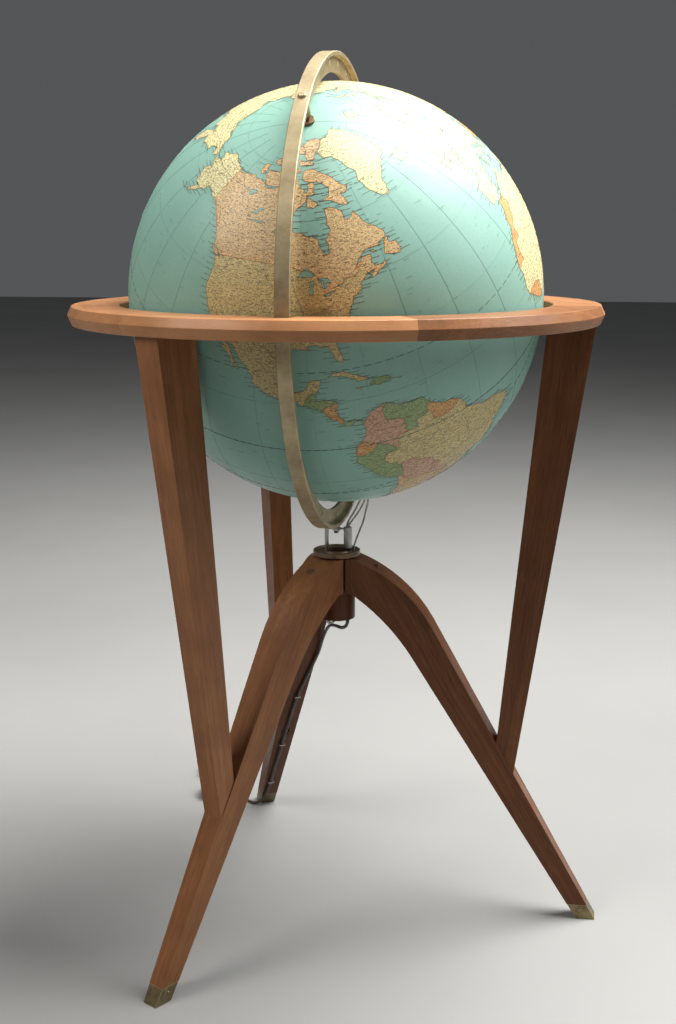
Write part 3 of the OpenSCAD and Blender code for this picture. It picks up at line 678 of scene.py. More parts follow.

# Every outline is a list of places, "longitude latitude", roughed out
COASTS = {
    "north_america": """-168 65.6,-163.5 66.5,-161.8 66.9,-164 67.6,-166.5 68.3,-163 69.4,-159 70.9,
-156.5 71.3,-151 70.5,-145 70,-141 69.7,-137 69,-134.5 69.6,-129 70.1,-127.5 70.5,-124 69.5,-121 69.8,
-116 69,-115 68.2,-110 68,-108.5 67.9,-106 68.7,-101.5 67.8,-98 67.9,-97 68.5,-95.5 69.3,-94.3 71.9,
-92.5 70.5,-92 69.5,-90.5 68.5,-88 68,-87.5 67.2,-86 67.8,-85.5 69.5,-82 69.8,-81.3 68.8,-82.3 67.5,
-81.5 67,-84 66.3,-86.5 66.4,-87 65.3,-89.5 64,-92 63.3,-94 61.5,-94.7 60,-94.6 58.8,-92.5 57,-90 57.2,
-87 56,-82.5 55.2,-82.3 53,-80.5 51.4,-79 51.5,-79 54,-79.7 54.8,-76.7 57,-78.4 58.9,-77.5 60,-78 62.4,
-73.7 62.4,-70 61,-69.5 59,-68 58.6,-66 59,-64.5 60.3,-62.5 58,-61.5 56.5,-58 54.8,-56 53,-56 52,
-58.5 51.3,-60 50.2,-66.5 50.2,-68.5 49,-71 46.8,-69.5 47.8,-67.5 48.9,-64.5 49,-64.3 48.3,-65 47,-64 46,
-61.5 45.7,-60.2 46.6,-60 45.8,-63.5 44.5,-65.7 43.5,-66.2 44.3,-64.5 45.3,-67 45,-69 44,-70.6 43,-70.7 42,
-70 41.8,-72 41.2,-74 40.6,-74.2 39.6,-75.2 38.5,-76 37,-75.6 35.3,-77.5 34.3,-79.3 33,-81.2 31.5,
-81.3 29.8,-80.1 27,-80.3 25.3,-81.8 26,-82.8 27.9,-83.7 29.8,-85.3 29.7,-87.5 30.3,-89.5 30.2,-89.3 29.2,
-91 29.3,-94 29.6,-96 28.5,-97.3 27.5,-97.2 25.8,-97.8 22.3,-96.3 19.3,-94.5 18.2,-92 18.6,-90.7 19.3,
-90.3 21,-88 21.5,-86.9 21.3,-87.6 19.3,-88.3 17.8,-88.8 15.9,-86 15.9,-83.4 15,-83.6 12.4,-83.4 10.6,
-82 9,-79.8 9.5,-77.3 8.5,-77.8 7.3,-78.3 8.6,-79.6 8.9,-80.4 7.4,-82.8 8,-84 9.6,-85.8 10.4,-87.5 12.9,
-90 13.8,-92.3 14.6,-94.5 16.2,-97 15.8,-99.8 16.8,-102.5 18,-105.5 20.3,-105.3 21.6,-107.5 24.3,
-109.4 26,-111 28,-112.8 30,-113.1 31.3,-114.7 31.7,-114.6 30.2,-112.7 28.3,-111.3 26,-110.2 24.2,
-109.5 23,-110.3 23.2,-112.2 25,-112.2 26.2,-114.2 27.2,-115 27.8,-114.1 28.3,-115.7 30,-117.2 32.8,
-118.5 34,-120.6 34.5,-121.9 36.7,-122.5 37.8,-124 39.8,-124.3 42,-124 44.8,-124 46.2,-124.7 48.4,
-122.8 48.2,-123.2 49.2,-127.3 50.8,-127.9 52.5,-130.3 54.5,-133 56.5,-136 58.3,-139.8 59.6,-144 60,
-147 61,-151 61,-151.8 59.3,-153.5 59.3,-156.5 57.3,-160.5 55.6,-164.7 54.6,-161 56,-157.6 58.7,-162 58.7,
-162 60,-165 60.7,-166 61.8,-164.5 63.2,-161 63.8,-163 64.5,-166.3 64.6""",
    "south_america": """-77.3 8.5,-76.8 8.6,-75.6 10.6,-74.8 11.1,-71.7 12.4,-70 12,-68.3 10.8,-66 10.5,
-64 10.2,-62 10.7,-60.5 8.6,-58.5 7,-57 6,-54 5.8,-51.7 4.3,-50 1.8,-50 0.3,-48 -0.8,-44.5 -2.5,-40 -2.9,
-37 -4.8,-35.2 -5.5,-34.8 -7.5,-35.5 -9.5,-37.2 -11.5,-39 -13.5,-39.2 -17.7,-40.5 -21,-42 -22.9,-45 -23.4,
-48.2 -25.5,-48.7 -28.4,-51 -31,-53.4 -33.8,-55 -34.9,-58 -34.2,-57.2 -36,-57.8 -38,-62 -38.9,-62.3 -40.8,
-65 -41,-63.8 -42.5,-65.3 -44.5,-67.5 -46,-65.8 -47.5,-69 -50.5,-68.4 -52.3,-65.2 -54.7,-68 -55.6,
-71.5 -54,-74.5 -52,-75.5 -48.5,-75.3 -46,-73 -44,-73.7 -41.5,-73.5 -38,-71.7 -33,-71.5 -29.5,-70.3 -25,
-70.3 -19,-71.5 -17.5,-75.5 -15,-77.2 -12,-79.5 -8,-81.2 -6,-80.3 -3.5,-80.9 -2.2,-80 0.8,-78.7 1.7,
-77.3 3.8,-77.5 7,-77.8 7.3""",
    "africa": """-17.5 14.7,-16.5 19,-17 21,-16 23.7,-13 27.8,-9.8 29.5,-9.6 31.5,-6.5 34,-5.8 35.8,
-2 35.2,3 36.8,10 37.3,10.2 34.2,11.5 33.2,15.3 32.3,19.5 30.4,20 32.5,23 32.7,25 31.6,29 30.9,32.3 31.2,
34.2 31.3,34.9 29.5,34.3 27.8,32.6 29.9,35.5 24,37.3 21,37.5 18.7,39.5 15.5,43.2 12.5,43.2 11.5,44.5 10.4,
51.2 11.9,50.8 9.5,48 4.5,45 2,41.5 -1.8,39.3 -4.7,39.5 -8,40.6 -10.8,40.6 -15,37 -17.8,34.9 -20,35.5 -24,
32.7 -26,32.5 -28.5,30 -31.3,27 -33.8,22 -34,20 -34.8,18.4 -34,17.5 -31,15.2 -27,14.4 -22.5,11.8 -17.5,
13.5 -12.5,12.2 -6,9 -1,9.7 2.5,9.5 4,7 4.4,5 5.9,2 6.3,-2 4.8,-7.5 4.4,-11.5 6.9,-13.3 9,-15 11,
-16.8 12.5""",
    "eurasia": """-9 37,-9.3 38.7,-8.8 43.2,-2 43.4,-1.3 46,-4.6 48.4,-1.6 48.6,-1.8 49.7,0.2 49.5,
1.7 50.9,3.5 51.5,4.7 53,7 53.6,8.6 54,8.1 56.8,10.6 57.7,10.3 56,10 54.5,12.5 54.4,14.5 54,18.5 54.8,
20 54.7,21.2 57,24.3 57.5,23.6 59.2,28 59.5,30 60,25 60.2,22.5 60,21.3 61.5,21.3 63,25 65,24 65.8,22 65.5,
21.3 64.4,17.5 62,17.2 60.7,18.8 59.8,16.8 58.5,16.4 56.5,14.3 55.5,12.9 55.5,11.2 58.5,10.5 59.3,8 58.1,
5.5 58.8,5 61.8,9 63.6,12.5 65.8,14.5 68,19 70,25.5 71,31 70.3,33 69.4,41.2 67,40.2 66.2,34 66.7,34.7 64.5,
38 64,40 64.7,40.2 65.6,43.8 66.2,44 68.3,46.5 68.3,53.5 68.4,60.5 69.6,65 69.2,67 69.7,67 71.5,68.5 72.9,
72.7 72.8,72 71,73.5 68,74.8 70,73.8 71.5,80.5 72.5,80.5 73.6,87 75,97 76.2,104 77.6,108 76.7,113.5 75.6,
108 73.3,113 73.8,118 73,127 73.3,129 71,132 71.5,139 72.2,140 72.8,150 71.5,160 69.7,161 69.5,170 69.8,
170.5 69,178 69.4,180 68.9,185 67.3,190 66.1,187.3 64.4,183 65.8,180.5 65,178.5 64.3,179 62.6,174 61.8,
170 60,164 59.8,163.3 58,162 56,162 54.8,159 53,156.8 51,155.7 54,156 57,160 60.5,163.5 62.4,160 61.8,
156.5 61.5,154.5 59.5,149 59.4,143 59.3,137 55,135.5 54.7,138 53.9,141.2 53,140.5 50,140.3 48,138 46,
135 43.3,131 43,130 42,127.5 39.8,129.4 37,129 35.2,126.5 34.5,126.3 36.7,125 38,124.5 39.8,121.5 38.9,
121.8 40.9,118 39,119 37.3,122.5 37,119.3 35,121.8 31.8,121.8 29,119 25.3,116 23,113.5 22.2,110 20.8,
108.2 21.6,106 19.5,108.8 15.3,109.2 12,106.8 10.4,104.8 8.7,105 10.4,102.5 12,100.9 13.4,100 13,99.3 10,
100.5 7.2,103.4 4,104.2 1.4,103.4 1.4,101 3,100.3 6,98.3 8,98.7 11,97.7 16,95.3 15.8,94.3 18.5,92 21.5,
90.5 22.6,87 21.5,85.5 19.8,82.3 16.7,80.3 15.3,80.2 13,79.8 10.3,77.6 8.1,76.3 10,74.5 14,72.8 19,
72.7 21.3,70.3 21,69 22.3,67.3 24,66.5 25.3,61.5 25.1,57.3 25.7,56.7 27.1,54.5 26.6,51.5 27.9,50 30.1,
48 30,48.5 28.4,50.2 26.5,51.6 24.2,54 24.1,56.3 26.2,56.6 24.4,59.8 22.5,57.8 19,55 17,52 15.6,45 12.9,
43.3 12.8,42.7 16.3,39.2 20.8,37 25,35 28,34.9 29.5,34.2 31.3,35.5 33.9,36 36.5,32 36.1,30.5 36.7,
27.5 36.8,26.3 39,26.2 40,29 40.9,31.5 41.3,35 42,38.5 41,41.6 41.5,37.5 44.6,39.3 47.2,35 46.2,36.5 45.3,
33.5 44.5,33 46,30.5 46.3,28.6 43.8,28 42,29 41.3,26.2 40.7,24 40.9,23 40.2,24 38,22.8 36.6,21 38.5,
19.4 41.5,19 42.2,15 44.5,13.7 45.6,12.4 45,13.5 43.6,16 42,18.5 40.2,17 39,15.7 38,15.8 40,12.3 41.8,
10.2 43.9,8.8 44.4,6 43.1,3.1 43.2,3 41.8,-0.3 39.5,-0.7 37.7,-2.2 36.8,-5.6 36,-6.5 37""",
    "greenland": """-73 78.2,-66 80,-60 82,-45 82.3,-32 83.5,-22 82.2,-18 80,-19.5 77,-20 74.5,-22 72,
-22 70.3,-26 68.6,-33 67.5,-37 65.8,-40.5 64.5,-42.8 61,-44 60,-48 61,-51.5 63.5,-53.5 66.8,-51 69.5,
-54.5 71.5,-57.5 74.5,-61 76,-68 76""",
    "baffin": """-89.5 71.3,-89 73.2,-85 73.7,-81 73.6,-77.5 72.7,-72 71.5,-68.5 70.3,-67 69,-64 67.5,
-61.5 66.7,-64 65.2,-67.5 65.5,-65 63,-66 62,-70 62.8,-74 64.4,-77.8 64.5,-74 65.4,-73 67,-72.5 67.8,
-75 68.7,-79 70,-84 70,-88.5 70.6""",
    "ellesmere": "-79 76.3,-75.5 78.5,-67 80.3,-62 82.3,-70 83.1,-82 82.9,-91 81.4,-86 79.5,-88 78,-86 76.6",
    "axel": "-96 80.5,-92 81.2,-88 80,-88 78.3,-94 78.5",
    "devon": "-96 76.8,-90 76.4,-80 75.7,-80 74.6,-92 74.8",
    "victoria": """-117 70,-118.5 71.4,-117.5 73,-112 72.8,-108 73.2,-105 72.8,-104.5 71,-101.5 69.8,
-102 69,-106 68.9,-113.5 68.6,-116 69.2""",
    "banks": "-125.5 72,-124.5 74.2,-121 74.4,-120.5 71.5,-123 71.2",
    "melville": "-117 75.2,-115 76.4,-109 76.6,-106 75.6,-112 74.5",
    "wales_island": "-102 72.8,-100 73.8,-97.5 73.8,-97 71.8,-100 71.6",
    "somerset": "-95.6 72.7,-95 74,-91 74,-92 72.8",
    "southampton": "-87 64,-85.5 65.8,-83 65,-80.5 63.8,-83.5 62.9,-86.5 63.3",
    "newfoundland": """-59.3 47.7,-58.5 49.2,-57 51.2,-55.7 51.5,-56 50,-53.5 49.4,-53 47.6,-53.6 46.7,
-55.8 46.9""",
    "anticosti": "-64.4 49.9,-61.8 49.2,-63 49.1",
    "vancouver": "-128.3 50.7,-125 50,-123.4 48.5,-125.5 48.8",
    "cuba": "-84.9 21.9,-83 23,-80.5 23.1,-77.3 21.6,-74.2 20.2,-77.5 19.9,-77.8 20.7,-81.5 22.1,-83.5 22.2",
    "hispaniola": "-74.4 18.4,-73.3 19.9,-70 19.8,-68.4 18.6,-70.5 18.3,-71.6 17.8",
    "jamaica": "-78.3 18.3,-76.3 18.1,-77.2 17.8",
    "puerto_rico": "-67.2 18.4,-65.7 18.3,-66.5 18",
    "britain": """-5.5 50.1,1.3 51.1,1.7 52.7,0.2 53,-1.5 55,-2 57.5,-4 57.7,-3.1 58.6,-5 58.5,-6 56.7,
-5 54.8,-3 54,-4.5 53,-5.2 51.8,-3 51.4""",
    "ireland": "-9.8 51.6,-9.9 54,-7.5 55.3,-5.7 54.5,-6.3 52.2",
    "iceland": "-24 65.5,-22.5 66.4,-16 66.5,-13.6 65,-18.5 63.4,-22.5 63.9",
    "svalbard": "11 79.5,20 80.4,27 80,20 78.5,16.5 76.7,13.5 78",
    "novaya_zemlya": "52 71,56 73.8,60 76,68 76.8,60 75,57 72,57.5 70.7,54 70.7",
    "honshu": """130.9 34,132.5 35.5,136 36,137.3 37.5,140 40,141.3 41.4,142 39.5,140.8 36,139.7 35,
136.8 34.4,135.5 33.5,132 34""",
    "hokkaido": "140 41.8,140.3 43.3,141.8 45.4,145.3 43.3,143 42",
    "kyushu": "130 33.5,131.8 33.5,131.2 31.4,130.2 31.3",
    "sakhalin": "142 46,142.2 53.5,143 54.3,143.5 51,143 49,143.4 46.5",
    "taiwan": "120.2 23,121.5 25.2,120.9 22",
    "hainan": "108.7 19.2,110.7 20,109.6 18.3",
    "luzon": "120.3 16,120.8 18.5,122.2 18.4,121.5 15,124 13,120.8 13.8",
    "mindanao": "122 7,125.3 9.7,126.4 7.5,125.3 5.8,124 7.4",
    "borneo": """109 1.5,111.5 2.8,115 5,117 7,119 5.2,117.7 3,117.8 1,116.3 -2,114.5 -4,111 -3,
109.2 -0.5""",
    "sumatra": "95.3 5.5,98 4,103.5 0,106 -3,105.8 -5.8,102 -4,98.7 1.5",
    "java": "105.2 -6.8,106 -5.9,110.8 -6.4,114.5 -7.7,114.3 -8.6,108 -7.8",
    "sulawesi": """119.5 -5.5,119 -2.5,120 0.8,125 1.5,120.5 0.4,121 -1,123.3 -0.8,121.8 -1.8,123 -4.2,
121.5 -4.8,120.7 -3""",
    "new_guinea": """131 -0.8,134 -0.8,135 -3.3,138 -1.7,144.5 -3.8,147.8 -6,150.8 -10.3,147 -9.5,
143.5 -8.5,141 -9.1,138 -8.3,137.8 -5,133 -4,132 -2.8""",
    "australia": """113.7 -22.6,114.2 -26,115.7 -32,115 -34.3,118 -35,123.5 -33.9,126 -32.3,131 -31.5,
135.5 -34.8,137.8 -32.6,138.2 -35.6,140.5 -38,143.5 -38.8,146.4 -39,150 -37.5,151.5 -33,153.5 -28.5,
152.8 -25,149.5 -22.3,146.3 -19,145.3 -15,142.5 -10.8,141.6 -14,140.8 -17.5,138 -16.8,135.5 -15,
136.8 -12.2,132.5 -11.4,130.5 -12.6,129 -15,126 -14,122.3 -18,118 -20.4""",
    "tasmania": "144.8 -40.8,148.2 -40.9,147.8 -43.2,146 -43.5",
    "zealand_north": "172.8 -34.5,175.5 -36.5,178.5 -37.7,176.8 -40,175 -41.5,173.8 -39.3,174.7 -37.5",
    "zealand_south": "172.7 -40.6,174.2 -41.7,171.2 -44.2,169 -46.6,166.5 -46,168.5 -44",
    "madagascar": "43.3 -22,44.3 -19.5,44.5 -16.2,47.5 -15,49.3 -12,50.4 -15.5,47.2 -25,45 -25.5",
    "ceylon": "79.8 8,80.2 9.7,81.8 7.3,80.6 6",
    "sicily": "12.5 38,15.6 38.2,15.1 36.7",
    "sardinia": "8.5 39,8.5 42.5,9.6 42.9,9.6 39.2",
    "crete": "23.6 35.4,26.2 35.2,24.8 34.9",
    "cyprus": "32.5 34.9,34.3 35.6,33.8 34.9",
    "antarctica": """-60 -64,-57 -63.3,-62 -67,-62 -73,-60 -75,-40 -78,-28 -76,-12 -72,5 -70,30 -69.5,
50 -67,70 -68.5,72 -70,80 -68,95 -66.5,115 -66.8,135 -66.3,150 -68.5,165 -70.5,170 -72,164 -77,200 -78.5,
205 -77,220 -75,250 -73.5,260 -74,285 -73,292 -68,297 -65"""}

BORDERS = {
    "north_america": """-141 70.5,-141 60.3,-137.5 59,-135 59.5,-130 56,-130.5 54.5,-132 54.3|
-125.5 48.4,-123 48.8,-122.8 49,-95.2 49,-94.8 49.3,-89.6 48,-88.5 48.3,-84.6 46.5,-82.5 45.3,-82.4 43,
-83 42,-79 42.6,-79.2 43.4,-76.4 44.1,-74.8 45,-71.5 45,-70.3 45.9,-69.2 47.4,-67.8 47.1,-67.8 45.7,
-66.8 44.6,-66 44|-118.5 32.4,-117.1 32.5,-114.8 32.6,-111 31.3,-108.2 31.4,-106.5 31.8,-104.5 29.6,
-103.2 29,-102.4 29.8,-101.4 29.8,-99.5 27.6,-97.2 25.9,-96 25.8|-92.5 14,-92.2 14.6,-91.5 16,-90.5 17.8,
-89.1 17.9,-88.5 18.4,-87.5 18.2|-87.9 12.5,-86.7 13.8,-82.6 15|-86.2 10.8,-83.2 11|-83.2 7.7,-82.6 9.8""",
    "south_america": """-71.2 12.5,-72.5 10.5,-72 7.2,-67.5 6.2,-67.3 2.5,-66.8 1.2,-64 2,-64.2 4,
-60.8 5.2,-60 5|-60.8 5.2,-61.2 6.5,-59.8 8.6|-60 5,-59.6 2,-57 1.9,-54.5 2.3,-51.5 4.6|-66.8 1.2,-69.8 1,
-69.5 -1,-70 -4.2,-71 -2.3,-75 0,-78.9 1.5,-79.5 1.8|-75 0,-75.5 -1.5,-78.4 -3.5,-81.5 -3.5|-70 -4.2,
-73 -5,-74 -7.5,-72.5 -9.6,-70.5 -9.5,-70.5 -11,-69.5 -11,-65.4 -10,-65.3 -11.8,-60.4 -13.8,-60 -16.2,
-58.3 -17,-57.7 -19.5,-58.2 -20,-57.8 -22,-55.8 -22.3,-54.3 -24.2,-54.6 -25.6,-53.7 -26.8,-57.6 -30.2,
-53.5 -33.8,-53 -34.2|-69.5 -11,-69 -16,-69.5 -17.5,-71 -18.5|-69.5 -17.5,-68 -21,-67 -22.8,-62.6 -22.2,
-58.2 -20|-67 -22.8,-68.5 -25,-70 -30,-70.5 -36,-71.8 -42,-72 -48,-73.3 -50.5,-70 -52,-68.4 -52.4|
-62.6 -22.2,-57.6 -25.5,-58.6 -27.3,-54.6 -25.6|-57.6 -30.2,-58 -34.2""",
    "africa": """-2 35.5,-1.5 32.5,-5 30,-8.7 28.7,-8.7 27.3,-13.2 27.7|-8.7 27.3,-8.7 26,-12 26,-13 23,
-13 21.3,-17.2 21|25 31.8,25 22,37 22|8.5 37,8.3 33.5,9.5 30.2,9.8 26,12 23.5|-8.7 27.3,-4.8 25,1.2 21.1,
4 19.2,5.8 19.5,12 23.5,15 23,24 19.5,25 22|24 19.5,22 13,23 10.8,27.5 5|2.7 6.4,3.6 11.7,13.5 13.7,14 10,
11.5 6.7,9 4.8|13.5 13.7,15.5 7.5,18.5 3.5,27.5 5|12.5 -5.8,16.5 -5,18 -1,18.5 3.5|27.5 5,30.8 3.5,
29.5 -1.5,29.3 -4.5,30.8 -8.3,28.5 -9,28.5 -12.5,24 -11,21.8 -8,17 -7.5,12.5 -6|36.5 14.3,34 9,36 4.5,
41.9 4,45 5,48 8,43 11.3,42.4 12.5|27.5 5,36 4.5|34 -1,37.6 -3,39.2 -4.7|40.4 -10.5,34.7 -11.5,35.8 -16,
33 -14.5,30.5 -15.6,32.8 -18,31.3 -22.4,32 -26.8,32.9 -26.9|31.3 -22.4,29.4 -22.2,25 -25.5,20 -25,
20 -28.4,16.5 -28.6|11.8 -17.3,23 -17.6,25.3 -17.8,29.4 -22.2|-7.5 4.4,-8 10,-11 12,-13.7 12.7,-16.7 12.4|
-3 5,-2.8 11,0 11,1.2 6.1|-11.5 7,-10.5 8.5,-8.5 7.5,-7.5 5""",
    "eurasia": """-8.8 41.9,-6.5 41.7,-7.2 37.2|-1.8 43.4,3.1 42.4|2.5 51.1,6 49.5,8.2 49,7.5 47.6,6 46.3,
7.6 43.8|14.3 53.9,15 51,12.2 50.3,13.8 48.8,10 47.5,7.5 47.6|11 59,12.3 61,12 64,15.5 66.5,20.5 69|
24.2 65.8,23.7 68,20.5 69,28.5 70,31 70.4|28.6 69.7,30 67.7,29.7 65,31.3 62.7,27.8 60.5|20 54.5,23.5 54,
24 51,23 49,26.6 48.2,28.2 45.4,29.7 45.3|41.5 41.5,44 40,48.5 38.5,49 38.4|53.9 37.4,60 36.6,62 35.3,
67 37.2,71 38,74.8 37.5,74 40,80.2 42,82.5 45.3,87.5 49.2,98 50.5,107 49.7,116 49.8,120 53,124 53,
130.5 48.5,135 48.4,131 44.8,130.7 42.3|87.5 49.2,91 45.2,97 42.7,105 41.6,111.5 44,119.8 46.7,116 49.8|
74 37.3,79 33,81 30.2,88 27.9,92 27.8,97.5 28.3,98.5 24,101.5 21.5,105 23.2,108 21.5|61.5 25,62.8 28,61 30,
61 35.3|61 30,66.5 30,70 33.5,71 36.5,74 37.3|68 23.8,71 28,74.5 31,76 34,79 35.5|36 36,42 37.2,44.8 37.2,
44 40|44.8 37.2,46 33,48.5 30|35 29.5,39 32,42 31,46.5 29.1,48.4 28.5|98.3 16,98 18,100 20.4,101.5 21.5"""}

LAKES = """47.5 45.5,51 47,53 45.3,53 42,53.9 39,53.8 36.9,50 37.4,49 40,47.5 43|
-92 46.7,-88 48.7,-84.8 46.8,-87.3 46.5|-87.8 42,-87.9 43.2,-87 45.5,-85.5 45.8,-86.3 44,-86.3 42.5|
-84.5 46,-81.5 46,-80 44.7,-81.6 44.6,-81.8 43.3,-83.4 43.8,-83.4 45|
-83.3 41.8,-80.5 42.6,-79 42.8,-81.5 41.6|-79.6 43.4,-77 43.9,-76.2 44,-76.5 43.5|
-124 66.2,-121 66.9,-118 66.6,-120 65.7,-122.5 65|-116.8 61,-112 62.7,-109.5 62.8,-113 61.2|
-98.8 53.5,-98 53.8,-96.5 51.2,-97 50.5|104 51.6,106.5 52.5,109.5 55.6,110 54.8,106.5 51.9|
32 0,33 0.5,34.2 0,33.5 -2.2,32 -2.4|58.5 46,61.5 46.2,60.5 44.3,58.6 44|
-117.5 59.2,-111.5 59.4,-107 59.2,-110 58.9|-103 57.4,-101.6 57.8,-101.8 56.6"""

RIVERS = """-89.3 29.3,-91.2 31,-91 33.5,-89.6 36,-90.2 38.7,-91.3 41,-93 44.8,-95 47.3|
-90.2 38.7,-94.5 39,-96.5 42.5,-100.5 44.5,-104 47.8,-110 47.7|-89.3 37,-86 38,-82.5 38.6,-80 40.5|
-70 47.5,-73.5 45.6,-76 44.3|-134.5 69,-130 67,-126 65,-123 62,-117.5 61|-164 62.7,-160 62,-157 64.7,
-152 65.2,-145 66,-141 64.8,-136 62.5|-114.8 32,-114.6 35,-112 36.5,-109 38.8,-106 40|
-97.3 26,-99.5 27.5,-102.5 29.7,-105 31,-106.7 33.5,-106 36.5|-124 46.2,-120 45.8,-119 48,-117.5 50|
-51 0,-55 -2,-60 -3.2,-65 -3,-70 -4.2,-73.5 -4.5,-74 -9|-60 -3.2,-62 -6,-65 -10|-51.5 -1,-50 -5,-49 -10|
-62 9,-65 7.8,-67 6,-67.5 4|-58.5 -34,-60.5 -31,-58.5 -27,-54.5 -25,-51 -20|-55 -2.3,-57 -6,-58 -11|
6.5 4.5,6 8,3 12,-2 16.5,-6 13.5,-10 10|31 31,31.5 27,33 24,31 19,33.5 16,32.5 13,32.5 8,31 3,32 0|
12.4 -6,16 -3.5,18 1,24 2,26.5 -2,27 -8|36 -18.5,32 -16,28 -17,24 -16,22.5 -12|
29.5 45,26 44,21 45,19 47,14 48.2,9 48|4 52,7 51,8 48.5,8 47.5|48 46,45 48.7,48 52,49 55,44 56.3,37 57|
72 68,67 65,68.5 61,76 59,83 54|83 70,87 66,90 60,93 54|127 72,124 67,129 62,115 59,107 54|
141 53,135 48.5,128 50,121 53|121.5 31.5,117 31,112 30,107 29.5,104 28.5,99 29|119 37.7,114 35,110 36,
109 40,104 37.5,98 34|89 22.5,86 25.3,80 26.5,78 30|67.5 24,70 28.5,73 33.5,78 34|139 -35.5,143 -34.3,
148 -36"""

# Where each colour of the print lies; a region takes the one nearest to most of its triangles
TINTS = {
    "tan": """-110 60,-75 55,-95 63,-72 66,-110 71,-123 73,-112 75.5,-99 73,-93 73.4,-84 64,-56 49,
-63 49.4,-126 49.6,100 35,85 42,75 32,24 -28,135 -25,146 -42,-64 -45""",
    "straw": """-100 40,-102 24,-112 27,-50 -12,-40 -8,25 62,15 65,105 47,20 10,28 -3,-5 40,80 22,44 24,
175 -38,170 -44,-82 22,3 47""",
    "cream": """-152 65,-42 72,-19 65,60 62,100 65,130 65,160 65,178 67,18 79,58 73.5,
2 27,-3 17,18 27,8 17,0 -80,90 -75,200 -80,-5 66""",
    "green": """-66 7,-74 -11,-79 9,-90.3 15,-55 4,12 43,2 9,38 8,-71 -35,68 30,114 0,140 40,53 33,20 51,
-71 19,11 51,101 0,30 27""",
    "pink": """-73 4,-64 -17,-86 14.5,-53 4,-3 54,-8 53,30 -15,108 15,96 22,-59 -23,38 -6,8 9,141 -6,
-77.3 18.1,12 64,81 8""",
    "orange": """-78 -1.5,-59 5,-85 12,-6 32,-8 39.5,-6 7,-11 8,-56 -33,27 39,35 39,47 -20,30 24,66 35,
122 15,124 8,120 -2,110 -7,44 33,104 13""",
    "peach": """-84 77,-90 79.5,-88 75.5,-80 81,-65 -30,30 15,15 -12,103 18,127 37,132 34,143 43,
-66.4 18.2,32 49,8 61"""}
# The colour of each print and of the band along its coast and borders
PRINTS = {
    "tan": ((0.66, 0.47, 0.235), (0.74, 0.37, 0.13)),
    "straw": ((0.6, 0.5, 0.235), (0.62, 0.42, 0.17)),
    "cream": ((0.72, 0.66, 0.36), (0.7, 0.55, 0.2)),
    "green": ((0.27, 0.38, 0.17), (0.16, 0.32, 0.13)),
    "pink": ((0.6, 0.36, 0.24), (0.58, 0.26, 0.16)),
    "orange": ((0.64, 0.36, 0.13), (0.6, 0.24, 0.08)),
    "peach": ((0.7, 0.5, 0.29), (0.68, 0.38, 0.2))}


def places(text):
    """The places in an outline's text, as pairs of longitude and latitude."""
    return [tuple(float(n) for n in pair.split()) for pair in text.replace("\n", "").split(",")]


def unit_of(lon, lat):
    """The direction of a longitude and latitude, in the map's own frame."""
    a, b = radians(lon), radians(lat)
    return Vector((cos(b) * cos(a), cos(b) * sin(a), sin(b)))


def lon_lat(v):
    return math.degrees(math.atan2(v.y, v.x)), math.degrees(math.asin(max(-1, min(1, v.z))))


def degrees_to_metre(lat):
    """How many degrees of longitude make a metre of the ball's surface at that latitude."""
    return 1 / max(0.2, cos(radians(lat))) / radians(1) / BALL_R


def wander(line, step, rough, closed=False):
    """The line with points about step degrees apart, shifted sideways at random like a coast, by
    rough degrees at a step. The shift fades out before each given point."""
    out = []
    ends = line[1:] + line[:1] if closed else line[1:]
    for (lon0, lat0), (lon1, lat1) in zip(line, ends):
        a, b = unit_of(lon0, lat0), unit_of(lon1, lat1)
        gap = math.degrees(a.angle(b))
        count = max(1, round(gap / step))
        side = a.cross(b)
        side = side.normalized() if side.length > 1e-9 else Vector((0, 0, 1))
        sway = 0.0
        for i in range(count):
            t = i / count
            if i:
                sway = 0.6 * sway + chance.gauss(0, radians(rough))
            shift = side * sway * min(1, 3 * (1 - t))
            out.append((a.lerp(b, t).normalized() + shift).normalized())
    if not closed:
        out.append(unit_of(*line[-1]))
    return out


